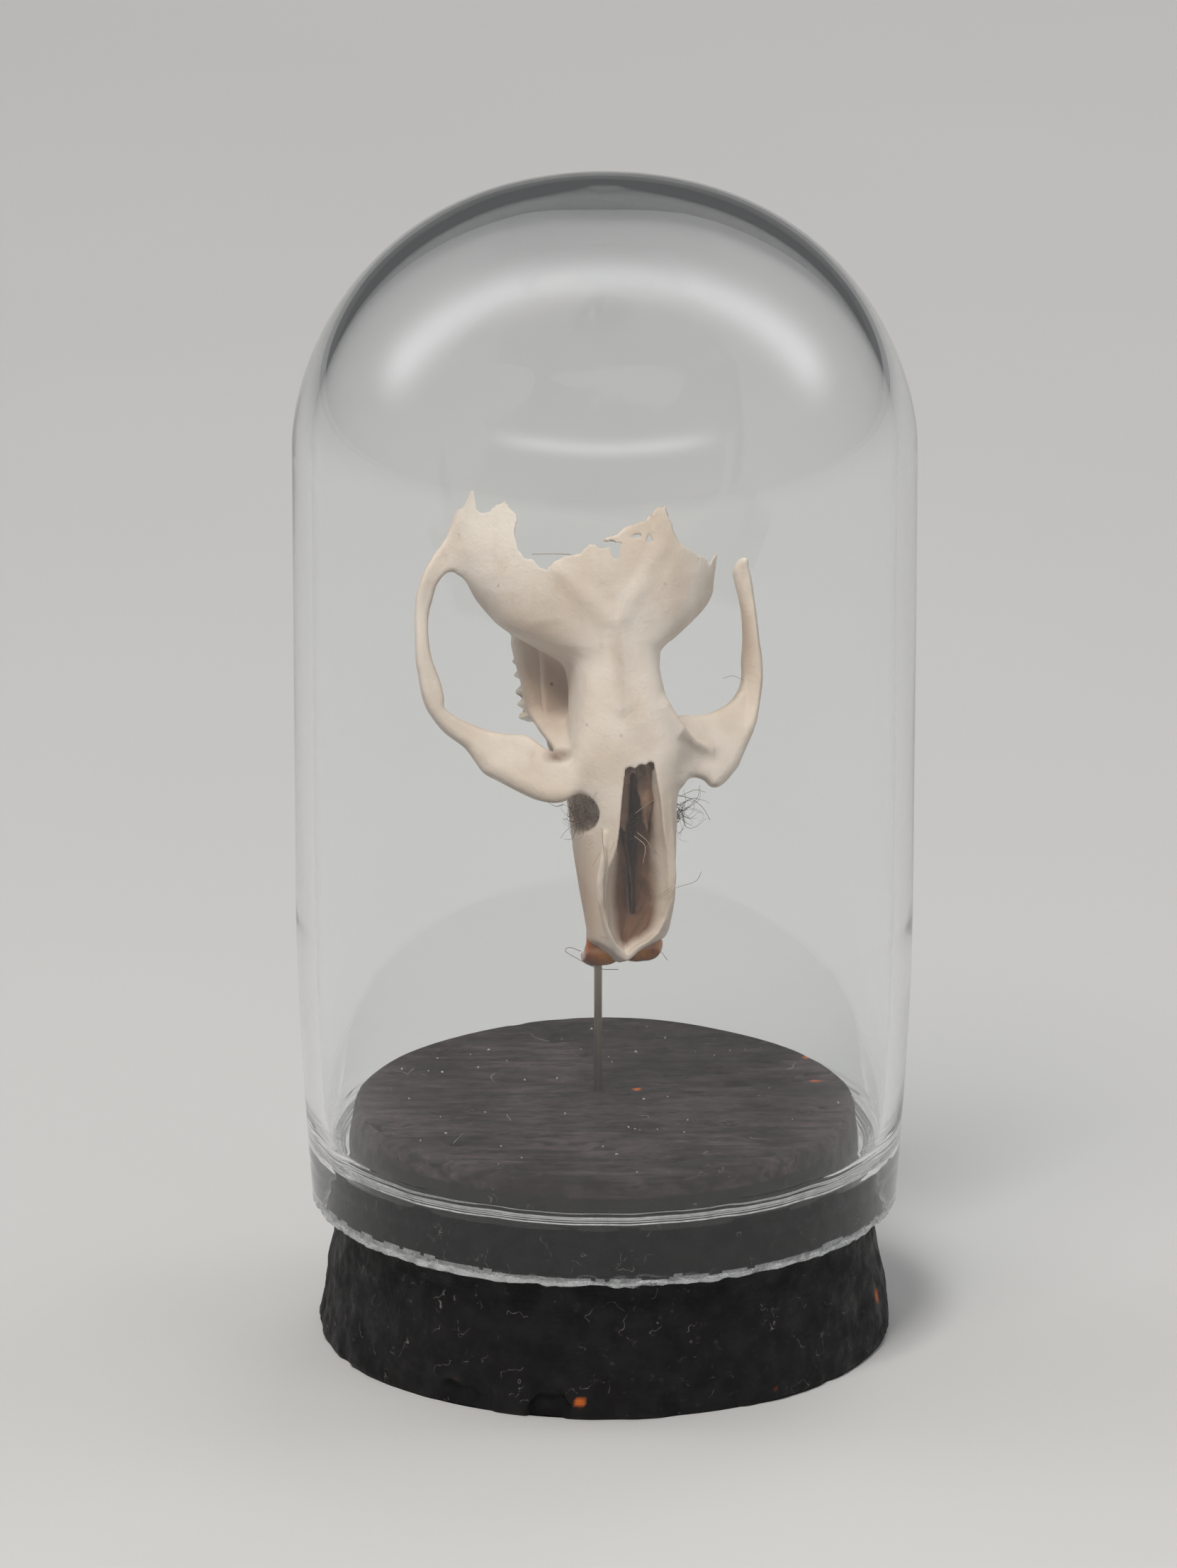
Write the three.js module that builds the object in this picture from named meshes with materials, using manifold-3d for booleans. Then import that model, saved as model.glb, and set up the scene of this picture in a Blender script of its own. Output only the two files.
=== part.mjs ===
// A small glass bell jar on a tapered cork base. Inside it the broken skull of a vole stands
// nose down on a steel pin. Millimetres, +Z up, origin at the middle of the cork's underside.
import * as THREE from 'three';
import Module from 'manifold-3d';
import { mergeVertices } from 'three/addons/utils/BufferGeometryUtils.js';
import { LoftGeometry } from 'three/addons/geometries/LoftGeometry.js';

const wasm = await Module();
wasm.setup();

// ---- Driving dimensions ----

const AROUND = 48;                // facets round the dome and the cork
const FLOAT_SAFE_GAP = 0.1;       // clearance between bones that meet at a suture

const CORK_HEIGHT = 14.9;
const CORK_BOTTOM_RADIUS = 18;
const CORK_TOP_RADIUS = 15.55;
const CORK_EDGE = 0.35;           // worn edge at the top and the bottom

const TUBE_RADIUS = 19;           // outside of the straight glass tube
const TUBE_WALL = 1.2;
const RIM_HEIGHT = 8.45;          // where the cut rim sits on the cork's taper
const RIM_OUTER_RADIUS = 18.1;
const RIM_INNER_RADIUS = 16.8;
const LEDGE_HEIGHT = 12.3;        // the drawn-in neck, where the wall is thickest
const LEDGE_INNER_RADIUS = 16.2;
const DRAWN_IN_BELOW = 27;        // the tube narrows towards the rim below this height
const SHOULDER_HEIGHT = 56.3;     // where the straight tube ends and the crown begins
const CROWN_RISE = 16.3;

const PIN_X = -0.39;
const PIN_Y = 1.48;
const PIN_RADIUS = 0.25;
const PIN_HOLE_RADIUS = 0.35;
const PIN_DEPTH = 8;              // how far the pin is pushed into the cork
const PIN_POINT = 1.4;
const PIN_TOP = 29.6;
const GLUE_BOTTOM = 26.9;
const GLUE_HEIGHT = 1.3;
const GLUE_RADIUS = 0.75;

const SKULL_PLACE = new THREE.Vector3(1.909, -2.591, 24.368);
const SKULL_YAW = 14;             // degrees about the pin
const SKULL_LEAN = -20;           // degrees, the braincase leans back
const SKULL_ROLL = -1.5;
const BONE = 0.5;                 // thickness of a plate of bone

// ---- Materials ----

function finish(color, roughness, metalness = 0) {
  return new THREE.MeshStandardMaterial({ color, roughness, metalness });
}

const CORK = finish(0x1b1819, 0.8);
const GLASS = new THREE.MeshStandardMaterial({
  color: 0xeef2f2, roughness: 0.03, metalness: 0, transparent: true, opacity: 0.3,
});
const STEEL = finish(0x9a9a98, 0.3, 0.9);
const GLUE = finish(0xd8cfb8, 0.25);
const IVORY = finish(0xe6dac6, 0.55);
const STAINED = finish(0x8a6a50, 0.7);
const AMBER = finish(0xb8620f, 0.2);
const ENAMEL = finish(0xd8ccb4, 0.35);

// ---- Shape helpers ----

function radians(degrees) {
  return degrees * Math.PI / 180;
}

// The value at a place along a list of [place, value] stations, joined by straight lines.
function along(stations, place) {
  const last = stations.length - 1;
  if (place <= stations[0][0]) return stations[0][1];
  if (place >= stations[last][0]) return stations[last][1];
  const next = stations.findIndex(([start]) => start > place);
  const [placeA, valueA] = stations[next - 1];
  const [placeB, valueB] = stations[next];
  return THREE.MathUtils.mapLinear(place, placeA, placeB, valueA, valueB);
}

// Leaves only merged positions, with the faces turned outwards.
function closed(geometry) {
  for (const name of ['normal', 'uv']) geometry.deleteAttribute(name);
  const merged = mergeVertices(geometry, 1e-5);
  const place = merged.attributes.position;
  const index = merged.index.array;
  const [a, b, c] = [new THREE.Vector3(), new THREE.Vector3(), new THREE.Vector3()];
  let volume = 0;
  for (let i = 0; i < index.length; i += 3) {
    a.fromBufferAttribute(place, index[i]);
    b.fromBufferAttribute(place, index[i + 1]);
    c.fromBufferAttribute(place, index[i + 2]);
    volume += a.dot(b.cross(c));
  }
  if (volume < 0) {
    for (let i = 0; i < index.length; i += 3) [index[i], index[i + 1]] = [index[i + 1], index[i]];
  }
  return merged;
}

function toSolid(geometry) {
  const merged = closed(geometry);
  return new wasm.Manifold(new wasm.Mesh({
    numProp: 3,
    vertProperties: new Float32Array(merged.attributes.position.array),
    triVerts: new Uint32Array(merged.index.array),
  }));
}

function toGeometry(solid) {
  const mesh = solid.getMesh();
  const geometry = new THREE.BufferGeometry();
  geometry.setAttribute('position', new THREE.BufferAttribute(mesh.vertProperties, 3));
  geometry.setIndex(new THREE.BufferAttribute(mesh.triVerts, 1));
  return geometry;
}

function joined(...geometries) {
  const [first, ...rest] = geometries.map(toSolid);
  return toGeometry(rest.reduce((whole, piece) => whole.add(piece), first));
}

function cut(geometry, ...tools) {
  return toGeometry(tools.map(toSolid).reduce((whole, tool) => whole.subtract(tool), toSolid(geometry)));
}

// A profile of [radius, height] points turned about the Z axis.
function turned(profile, facets = AROUND) {
  const points = profile.map(([radius, height]) => new THREE.Vector2(radius, height));
  return closed(new THREE.LatheGeometry(points, facets).rotateX(Math.PI / 2));
}

// A curved plate. surface(u, v) gives its outer face for u and v from 0 to 1, and centre(v) the
// point that the plate is thickened towards.
function plate(surface, centre, thickness, across, lengthwise) {
  const geometry = new THREE.BoxGeometry(1, 1, 1, across, lengthwise, 1);
  const place = geometry.attributes.position;
  for (let i = 0; i < place.count; i += 1) {
    const u = place.getX(i) + 0.5;
    const v = place.getY(i) + 0.5;
    const point = surface(u, v);
    if (place.getZ(i) < 0) {
      const inward = centre(v).sub(point).normalize();
      point.addScaledVector(inward, thickness);
    }
    place.setXYZ(i, point.x, point.y, point.z);
  }
  return closed(geometry);
}

// A rod of oval section. Each station is [x, y, z, half width in the XZ plane, half depth].
function rod(stations, sides = 10, steps = 12) {
  const centres = new THREE.CatmullRomCurve3(stations.map(([x, y, z]) => new THREE.Vector3(x, y, z)));
  const sizes = stations.map(([, , , wide, deep], i) => [i / (stations.length - 1), wide, deep]);
  const widths = sizes.map(([place, wide]) => [place, wide]);
  const depths = sizes.map(([place, , deep]) => [place, deep]);
  const sections = [];
  for (let step = 0; step <= steps; step += 1) {
    const t = step / steps;
    const centre = centres.getPoint(t);
    const tangent = centres.getTangent(t);
    const sideways = new THREE.Vector3(0, 1, 0).cross(tangent).normalize();
    const deepways = tangent.clone().cross(sideways).normalize();
    const ring = [];
    for (let side = 0; side < sides; side += 1) {
      const angle = 2 * Math.PI * side / sides;
      ring.push(centre.clone()
        .addScaledVector(sideways, along(widths, t) * Math.cos(angle))
        .addScaledVector(deepways, along(depths, t) * Math.sin(angle)));
    }
    sections.push(ring);
  }
  const loft = new LoftGeometry(sections, { capStart: true, capEnd: true });
  return closed(new THREE.BufferGeometry().copy(loft));
}

function named(name, geometry, material) {
  const mesh = new THREE.Mesh(geometry, material);
  mesh.name = name;
  return mesh;
}

// ---- Cork base ----

function corkBase() {
  const body = turned([
    [0, 0],
    [CORK_BOTTOM_RADIUS - CORK_EDGE, 0],
    [CORK_BOTTOM_RADIUS, CORK_EDGE],
    [CORK_TOP_RADIUS, CORK_HEIGHT - CORK_EDGE],
    [CORK_TOP_RADIUS - CORK_EDGE, CORK_HEIGHT],
    [0, CORK_HEIGHT],
  ]);
  const holeDepth = PIN_DEPTH + FLOAT_SAFE_GAP;
  const hole = new THREE.CylinderGeometry(PIN_HOLE_RADIUS, PIN_HOLE_RADIUS, 2 * holeDepth, 12);
  hole.rotateX(Math.PI / 2).translate(PIN_X, PIN_Y, CORK_HEIGHT);
  return named('cork_base', cut(body, hole), CORK);
}

// ---- Glass dome ----

function tubeOuterRadius(height) {
  const below = Math.max(0, DRAWN_IN_BELOW - height) / (DRAWN_IN_BELOW - RIM_HEIGHT);
  return TUBE_RADIUS - (TUBE_RADIUS - RIM_OUTER_RADIUS) * below ** 1.6;
}

// The crown is flatter than a hemisphere on top, with a fuller shoulder.
function crown(wall, steps) {
  const profile = [];
  for (let step = 0; step <= steps; step += 1) {
    const angle = Math.PI / 2 * step / steps;
    const radius = step === steps ? 0 : (TUBE_RADIUS - wall) * Math.cos(angle) ** 0.86;
    profile.push([radius, SHOULDER_HEIGHT + (CROWN_RISE - wall) * Math.sin(angle) ** 1.1]);
  }
  return profile;
}

function glassDome() {
  const outside = [RIM_HEIGHT, 10.5, LEDGE_HEIGHT, 17, 21.5, DRAWN_IN_BELOW]
    .map((height) => [tubeOuterRadius(height), height]);
  const ledge = [
    [TUBE_RADIUS - TUBE_WALL, DRAWN_IN_BELOW],
    [TUBE_RADIUS - TUBE_WALL - 0.2, 20],
    [TUBE_RADIUS - TUBE_WALL - 0.4, LEDGE_HEIGHT + 2.7],
    [LEDGE_INNER_RADIUS + 0.8, LEDGE_HEIGHT + 0.9],
    [LEDGE_INNER_RADIUS + 0.2, LEDGE_HEIGHT + 0.2],
    [LEDGE_INNER_RADIUS, LEDGE_HEIGHT - 0.4],
    [RIM_INNER_RADIUS, RIM_HEIGHT],
  ];
  const crownSteps = 12;
  const inside = crown(TUBE_WALL, crownSteps).reverse();
  return named('glass_dome', turned([
    ...outside, ...crown(0, crownSteps), ...inside, ...ledge, outside[0],
  ]), GLASS);
}

// ---- Pin ----

function supportPin() {
  const start = CORK_HEIGHT - PIN_DEPTH;
  const shaft = turned([
    [0, start],
    [PIN_RADIUS, start + PIN_POINT],
    [PIN_RADIUS, PIN_TOP],
    [0, PIN_TOP],
  ], 12);
  return named('support_pin', shaft.translate(PIN_X, PIN_Y, 0), STEEL);
}

function adhesiveBead() {
  const bore = PIN_RADIUS + FLOAT_SAFE_GAP;
  const ring = turned([
    [bore, 0],
    [GLUE_RADIUS * 0.8, 0.1],
    [GLUE_RADIUS, GLUE_HEIGHT / 2],
    [GLUE_RADIUS * 0.7, GLUE_HEIGHT - 0.2],
    [bore, GLUE_HEIGHT],
    [bore, 0],
  ], 16);
  return named('adhesive_bead', ring.translate(PIN_X, PIN_Y, GLUE_BOTTOM), GLUE);
}

// ---- Skull ----
// The skull's own frame: x towards the animal's left, y towards its palate, z from the tips of
// the incisors towards the braincase. side is -1 for the animal's right and 1 for its left.

// Half width of the roof, and the heights of its sides and its top, at places along z.
const ROOF_WIDTH = [
  [12.2, 3.3], [14.5, 3.0], [17.7, 2.6], [19.2, 3.3], [20.5, 4.8], [22, 6.4], [24, 7.4], [29.6, 8],
];
const ROOF_SIDE = [[12.2, -2.2], [17.7, -3.2], [19.2, -3], [20.5, -2.2], [22, -1.5], [24, -1]];
const ROOF_TOP = [[12.2, -5.2], [17.7, -5.6], [20.5, -6], [24, -6.2], [29.6, -5.4]];

function roofPoint(degrees, z) {
  const angle = radians(degrees);
  const side = along(ROOF_SIDE, z);
  return new THREE.Vector3(
    along(ROOF_WIDTH, z) * Math.sin(angle),
    side - (side - along(ROOF_TOP, z)) * Math.cos(angle),
    z,
  );
}

// A piece of the roof between two angles off the midline, from one edge line to another. The
// edges are [angle, z] stations, so a broken edge is a list with a tooth at each station.
function roofPlate(fromAngle, toAngle, lowEdge, highEdge, across, lengthwise) {
  const surface = (u, v) => {
    const angle = THREE.MathUtils.lerp(fromAngle, toAngle, u);
    const low = along(lowEdge, angle);
    return roofPoint(angle, THREE.MathUtils.lerp(low, along(highEdge, angle), v));
  };
  const centre = (v) => {
    const angle = (fromAngle + toAngle) / 2;
    const z = THREE.MathUtils.lerp(along(lowEdge, angle), along(highEdge, angle), v);
    return new THREE.Vector3(0, along(ROOF_SIDE, z), z);
  };
  return plate(surface, centre, BONE, across, lengthwise);
}

function frontalBone() {
  return named('frontal_bone', roofPlate(-86, 86, [[0, 12.1]], [[0, 20.3]], 16, 9), IVORY);
}

const PARIETAL_BREAK = {
  right: [[-48, 25.2], [-37, 24.2], [-22, 24.9], [-9, 25.6], [-2, 24.8]],
  left: [[2, 24.8], [8, 24.4], [18, 25.8], [28, 27.3], [38, 25.8], [48, 25.2]],
};

function parietal(name, side) {
  const angles = side < 0 ? [-48, -1.5] : [1.5, 48];
  return named(`parietal_${name}`, roofPlate(
    ...angles, [[0, 20.3 + FLOAT_SAFE_GAP]], PARIETAL_BREAK[name], 8, 5,
  ), IVORY);
}

const SQUAMOSAL_BREAK = {
  right: [[-92, 27], [-84, 29.6], [-74, 27.6], [-62, 28.7], [-50, 26.8]],
  left: [[50, 25.1], [62, 24.7], [74, 24.3], [84, 23], [92, 22.2]],
};
const SQUAMOSAL_START = 20.4;

// The root of the cheek arch springs from the side of the braincase. The left arch is broken off.
const SQUAMOSAL_ROOT = [
  [-7.6, -0.5, 25.4, 0.9, 0.6], [-8.9, -0.4, 25.6, 0.85, 0.5],
  [-10.2, -0.1, 24.5, 0.6, 0.45], [-10.95, 0.1, 22.5, 0.45, 0.5],
];

function squamosal(name, side) {
  const angles = side < 0 ? [-92, -50] : [50, 92];
  const wall = roofPlate(...angles, [[0, SQUAMOSAL_START]], SQUAMOSAL_BREAK[name], 8, 6);
  const whole = side < 0 ? joined(wall, rod(SQUAMOSAL_ROOT)) : wall;
  return named(`squamosal_${name}`, whole, IVORY);
}

const JUGAL = {
  right: [
    [-11.0, 0.1, 22.2, 0.42, 0.55], [-11.1, 0.3, 19.6, 0.4, 0.7], [-10.8, 0.5, 17.0, 0.5, 0.8],
    [-9.8, 0.8, 14.9, 0.6, 0.8], [-8.8, 0.9, 13.9, 0.75, 0.7],
  ],
  left: [
    [9.45, 0, 23.8, 0.25, 0.4], [9.3, 0.1, 22, 0.3, 0.5], [9.55, 0.3, 19.6, 0.35, 0.7],
    [9.7, 0.5, 17, 0.45, 0.8], [9.2, 0.8, 14.9, 0.6, 0.8], [8.4, 0.9, 13.7, 0.75, 0.7],
  ],
};

function jugal(name) {
  return named(`jugal_${name}`, rod(JUGAL[name], 10, 14), IVORY);
}

// The snout is a tube open along its top, where the nasal bones are lost, and along its floor.
const SNOUT_WIDTH = [[2, 2.5], [3, 2.75], [7, 3.1], [10, 3.4], [12, 3.5]];
const SNOUT_DEPTH = [[2, 2.1], [4, 2.7], [10, 3.6], [12, 3.8]];
const SNOUT_CENTRE = [[2, 0.3], [7, -0.2], [12, -0.6]];
const SNOUT_OPEN_TOP = 34;        // degrees off the midline where each side wall starts
const SNOUT_OPEN_FLOOR = 146;

function snoutWall(side, fromZ, toZ) {
  const surface = (u, v) => {
    const z = THREE.MathUtils.lerp(fromZ, toZ, v);
    const angle = radians(THREE.MathUtils.lerp(SNOUT_OPEN_TOP, SNOUT_OPEN_FLOOR, u));
    return new THREE.Vector3(
      side * along(SNOUT_WIDTH, z) * Math.sin(angle),
      along(SNOUT_CENTRE, z) - along(SNOUT_DEPTH, z) * Math.cos(angle),
      z,
    );
  };
  const centre = (v) => {
    const z = THREE.MathUtils.lerp(fromZ, toZ, v);
    return new THREE.Vector3(0, along(SNOUT_CENTRE, z), z);
  };
  return plate(surface, centre, BONE, 9, 5);
}

const PREMAXILLA_START = 2.4;
const PREMAXILLA_END = 7;
const MAXILLA_END = 12;

function premaxilla(name, side) {
  const wall = snoutWall(side, PREMAXILLA_START, PREMAXILLA_END);
  return named(`premaxilla_${name}`, wall, IVORY);
}

// The maxilla carries the front of the cheek arch and the floor of the eye socket.
const CHEEK_ROOT = {
  right: [
    [-3.1, -0.6, 12.0, 1.7, 0.9], [-4.9, 0.3, 12.3, 1.9, 0.75],
    [-6.8, 0.9, 12.6, 1.5, 0.65], [-8.5, 0.9, 13.55, 0.9, 0.65],
  ],
  left: [
    [3.1, -0.6, 12.0, 1.7, 0.9], [4.7, 0.3, 12.3, 1.9, 0.75],
    [6.5, 0.9, 12.4, 1.7, 0.65], [8.1, 0.9, 13.35, 1.0, 0.65],
  ],
};
const SOCKET_FLOOR_INNER = 1.5;
const SOCKET_FLOOR_OUTER = 4.5;
const SOCKET_FLOOR_HEIGHT = 2.6;

function socketFloor(side) {
  const surface = (u, v) => {
    const arch = 0.5 * Math.sin(Math.PI * u);
    return new THREE.Vector3(
      side * THREE.MathUtils.lerp(SOCKET_FLOOR_INNER, SOCKET_FLOOR_OUTER, u),
      SOCKET_FLOOR_HEIGHT - arch,
      THREE.MathUtils.lerp(11, 20.4, v),
    );
  };
  const below = (v) => new THREE.Vector3(side * 3, 12, THREE.MathUtils.lerp(11, 20.4, v));
  return plate(surface, below, BONE, 4, 6);
}

function maxilla(name, side) {
  const wall = snoutWall(side, PREMAXILLA_END + FLOAT_SAFE_GAP, MAXILLA_END);
  const whole = joined(wall, rod(CHEEK_ROOT[name]), socketFloor(side));
  return named(`maxilla_${name}`, whole, IVORY);
}

// The thin wall between the nose and the eye socket, from the frontal bone to the socket floor.
function orbitosphenoid(name, side) {
  const surface = (u, v) => {
    const z = THREE.MathUtils.lerp(12.4, 19.6, v);
    const top = along(ROOF_SIDE, z) + 0.3;
    return new THREE.Vector3(
      side * (along(ROOF_WIDTH, z) - 0.3 - 0.5 * u),
      THREE.MathUtils.lerp(top, SOCKET_FLOOR_HEIGHT - 0.8, u),
      z,
    );
  };
  const centre = (v) => new THREE.Vector3(0, -0.5, THREE.MathUtils.lerp(12.4, 19.6, v));
  return named(`orbitosphenoid_${name}`, plate(surface, centre, BONE, 4, 6), IVORY);
}

// The roof of the mouth behind the tooth rows, with the broken floor of the braincase.
function palatine() {
  const start = 20.4 + FLOAT_SAFE_GAP;
  const surface = (u, v) => new THREE.Vector3(
    THREE.MathUtils.lerp(-3.4, 3.4, u),
    2.4 - 0.6 * Math.sin(Math.PI * u),
    THREE.MathUtils.lerp(start, 23.4, v),
  );
  const below = () => new THREE.Vector3(0, 14, 22);
  return named('palatine', plate(surface, below, BONE, 6, 3), IVORY);
}

function nasalSeptum() {
  const septum = new THREE.BoxGeometry(0.3, 3.2, 8.4, 1, 2, 4).translate(0, 0.6, 7.2);
  return named('nasal_septum', closed(septum), STAINED);
}

// A scroll of thin bone against each wall of the nose.
function turbinate(name, side) {
  const scroll = rod([
    [side * 1.1, -0.6, 3.4, 0.3, 0.5], [side * 1.2, -0.9, 6.5, 0.4, 0.7],
    [side * 1.25, -1.2, 9.5, 0.45, 0.8], [side * 1.2, -1.4, 11.4, 0.3, 0.5],
  ], 8, 6);
  return named(`turbinate_${name}`, scroll, STAINED);
}

function incisor(name, side) {
  const tooth = rod([
    [side * 1.25, -0.1, 1.7, 1.1, 0.6], [side * 1.3, 0.9, 1.25, 1.15, 0.75],
    [side * 1.3, 2, 0.9, 1.2, 0.8], [side * 1.25, 3.2, 0.6, 1.1, 0.45],
  ], 12, 10);
  return named(`incisor_${name}`, tooth, AMBER);
}

// A cheek tooth is a row of prisms, zigzag on both faces. [number, start, prisms]
const MOLAR_ROW = [[1, 15.6, 3], [2, 18.7, 2], [3, 20.9, 3]];
const PRISM = 0.98;
const MOLAR_HALF_WIDTH = 0.72;
const MOLAR_X = 4.0;
const MOLAR_ROOT = 3.2;
const MOLAR_CROWN = 5.4;

function molar(name, side, number, start, prisms) {
  const outline = new THREE.Shape();
  outline.moveTo(0, 0);
  for (let prism = 0; prism < prisms; prism += 1) {
    outline.lineTo(MOLAR_HALF_WIDTH, PRISM * (prism + 0.5));
    outline.lineTo(0.3, PRISM * (prism + 1));
  }
  for (let prism = prisms - 1; prism >= 0; prism -= 1) {
    outline.lineTo(-MOLAR_HALF_WIDTH, PRISM * (prism + 0.6));
    if (prism > 0) outline.lineTo(-0.3, PRISM * (prism + 0.1));
  }
  const options = { depth: MOLAR_CROWN - MOLAR_ROOT, bevelEnabled: false };
  const tooth = new THREE.ExtrudeGeometry(outline, options);
  tooth.rotateX(Math.PI / 2).translate(side * MOLAR_X, MOLAR_CROWN, start);
  return named(`molar_${number}_${name}`, closed(tooth), ENAMEL);
}

function skullBones() {
  const skull = new THREE.Group();
  skull.position.copy(SKULL_PLACE);
  skull.rotation.set(radians(SKULL_LEAN), radians(SKULL_ROLL), radians(SKULL_YAW), 'ZXY');
  skull.add(frontalBone(), palatine(), nasalSeptum());
  for (const [name, side] of [['right', -1], ['left', 1]]) {
    skull.add(parietal(name, side), squamosal(name, side), jugal(name), maxilla(name, side));
    skull.add(premaxilla(name, side), orbitosphenoid(name, side));
    skull.add(turbinate(name, side), incisor(name, side));
    for (const [number, start, prisms] of MOLAR_ROW) {
      skull.add(molar(name, side, number, start, prisms));
    }
  }
  return skull;
}

const jar = new THREE.Group();
jar.add(corkBase(), glassDome(), supportPin(), adhesiveBead(), skullBones());

export default jar;
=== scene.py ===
"""A small glass bell jar on a black painted cork, with a broken vole skull on a steel pin.

The CAD frame gives the bodies and the sizes. Everything that shows is made here: the glass and
the cork as turned meshes with their wear, the skull as one field of bone that is cut at its
sutures, the teeth, the hairs and the dust. Lengths are in millimetres and are turned into metres
when a mesh is made.
"""

import math

import bpy
import numpy as np
import openvdb
from mathutils import Euler, Matrix, Vector


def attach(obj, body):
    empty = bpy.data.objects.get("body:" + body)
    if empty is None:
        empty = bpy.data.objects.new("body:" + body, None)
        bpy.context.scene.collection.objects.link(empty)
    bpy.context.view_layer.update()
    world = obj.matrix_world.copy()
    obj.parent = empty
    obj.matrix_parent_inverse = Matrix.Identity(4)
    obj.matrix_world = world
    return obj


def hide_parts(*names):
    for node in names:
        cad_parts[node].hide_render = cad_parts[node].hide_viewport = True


MM = 0.001

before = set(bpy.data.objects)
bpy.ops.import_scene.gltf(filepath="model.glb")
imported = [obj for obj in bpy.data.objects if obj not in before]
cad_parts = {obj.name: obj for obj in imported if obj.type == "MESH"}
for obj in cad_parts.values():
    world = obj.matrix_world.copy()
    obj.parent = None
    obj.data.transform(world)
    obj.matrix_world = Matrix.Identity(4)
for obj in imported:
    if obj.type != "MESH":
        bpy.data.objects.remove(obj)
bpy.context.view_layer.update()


# ---- Sizes shared with the CAD model, in millimetres ----

CORK_TOP = 14.9
CORK_BOTTOM_RADIUS = 18.0
CORK_TOP_RADIUS = 15.55
CORK_TAPER = 0.164
TUBE_RADIUS = 19.0
TUBE_WALL = 1.2
RIM_HEIGHT = 8.45
RIM_OUTER_RADIUS = 18.1
RIM_INNER_RADIUS = 16.8
GROUND_HEIGHT = 0.5
LEDGE_HEIGHT = 12.3
LEDGE_INNER_RADIUS = 16.2
DRAWN_IN_BELOW = 27.0
SHOULDER_HEIGHT = 56.3
CROWN_RISE = 16.3
PIN_AXIS = (-0.39, 1.48)
PIN_RADIUS = 0.25
PIN_BOTTOM = CORK_TOP - 8.0
PIN_TOP = 29.6
GLUE_HEIGHT = 27.5

SKULL_CENTRE = (1.909, -2.591, 24.368)
SKULL_YAW = math.radians(14)
SKULL_LEAN = math.radians(-20)
SKULL_ROLL = math.radians(-1.5)
SKULL_PLACE = (
    Matrix.Translation(SKULL_CENTRE)
    @ Euler((0, 0, SKULL_YAW)).to_matrix().to_4x4()
    @ Euler((SKULL_LEAN, 0, 0)).to_matrix().to_4x4()
    @ Euler((0, SKULL_ROLL, 0)).to_matrix().to_4x4()
)


# ---- Camera, light and floor ----

LENS = 230.74
SENSOR = 36.0
CAMERA_PLACE = (-0.00098, -0.58828, 0.2143)
CAMERA_LOOKS_DOWN = 16.96
LIT_POINT = (0, 0, 0.04)
BAND_LIGHT = 2.3
ROOM_LIGHT = 0.10
FLOOR_SIZE = 6


def make_camera():
    data = bpy.data.cameras.new("camera")
    data.sensor_width = SENSOR
    data.lens = LENS
    data.clip_start = 0.01
    camera = bpy.data.objects.new("camera", data)
    camera.location = CAMERA_PLACE
    camera.rotation_euler = (math.radians(90 - CAMERA_LOOKS_DOWN), 0, 0)
    bpy.context.collection.objects.link(camera)
    bpy.context.scene.camera = camera
    bpy.context.scene.view_settings.view_transform = "Standard"


def make_softbox(name, place, width, height, power, colour=(1, 1, 1)):
    data = bpy.data.lights.new(name, "AREA")
    data.shape = "RECTANGLE"
    data.size, data.size_y = width, height
    data.energy = power
    data.color = colour
    light = bpy.data.objects.new(name, data)
    light.location = place
    aim = Vector(LIT_POINT) - Vector(place)
    light.rotation_euler = aim.to_track_quat("-Z", "Y").to_euler()
    light.visible_glossy = False
    light.visible_transmission = False
    bpy.context.collection.objects.link(light)


def make_lights():
    make_softbox("key", (-0.20, -0.42, 0.68), 0.26, 0.22, 5.2, (1, 0.97, 0.93))
    make_softbox("fill", (0.7, -0.45, 0.5), 0.4, 0.4, 0.9, (0.95, 0.97, 1))
    make_softbox("back", (0.25, 0.7, 0.5), 0.4, 0.2, 1.2)
    make_world()


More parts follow.
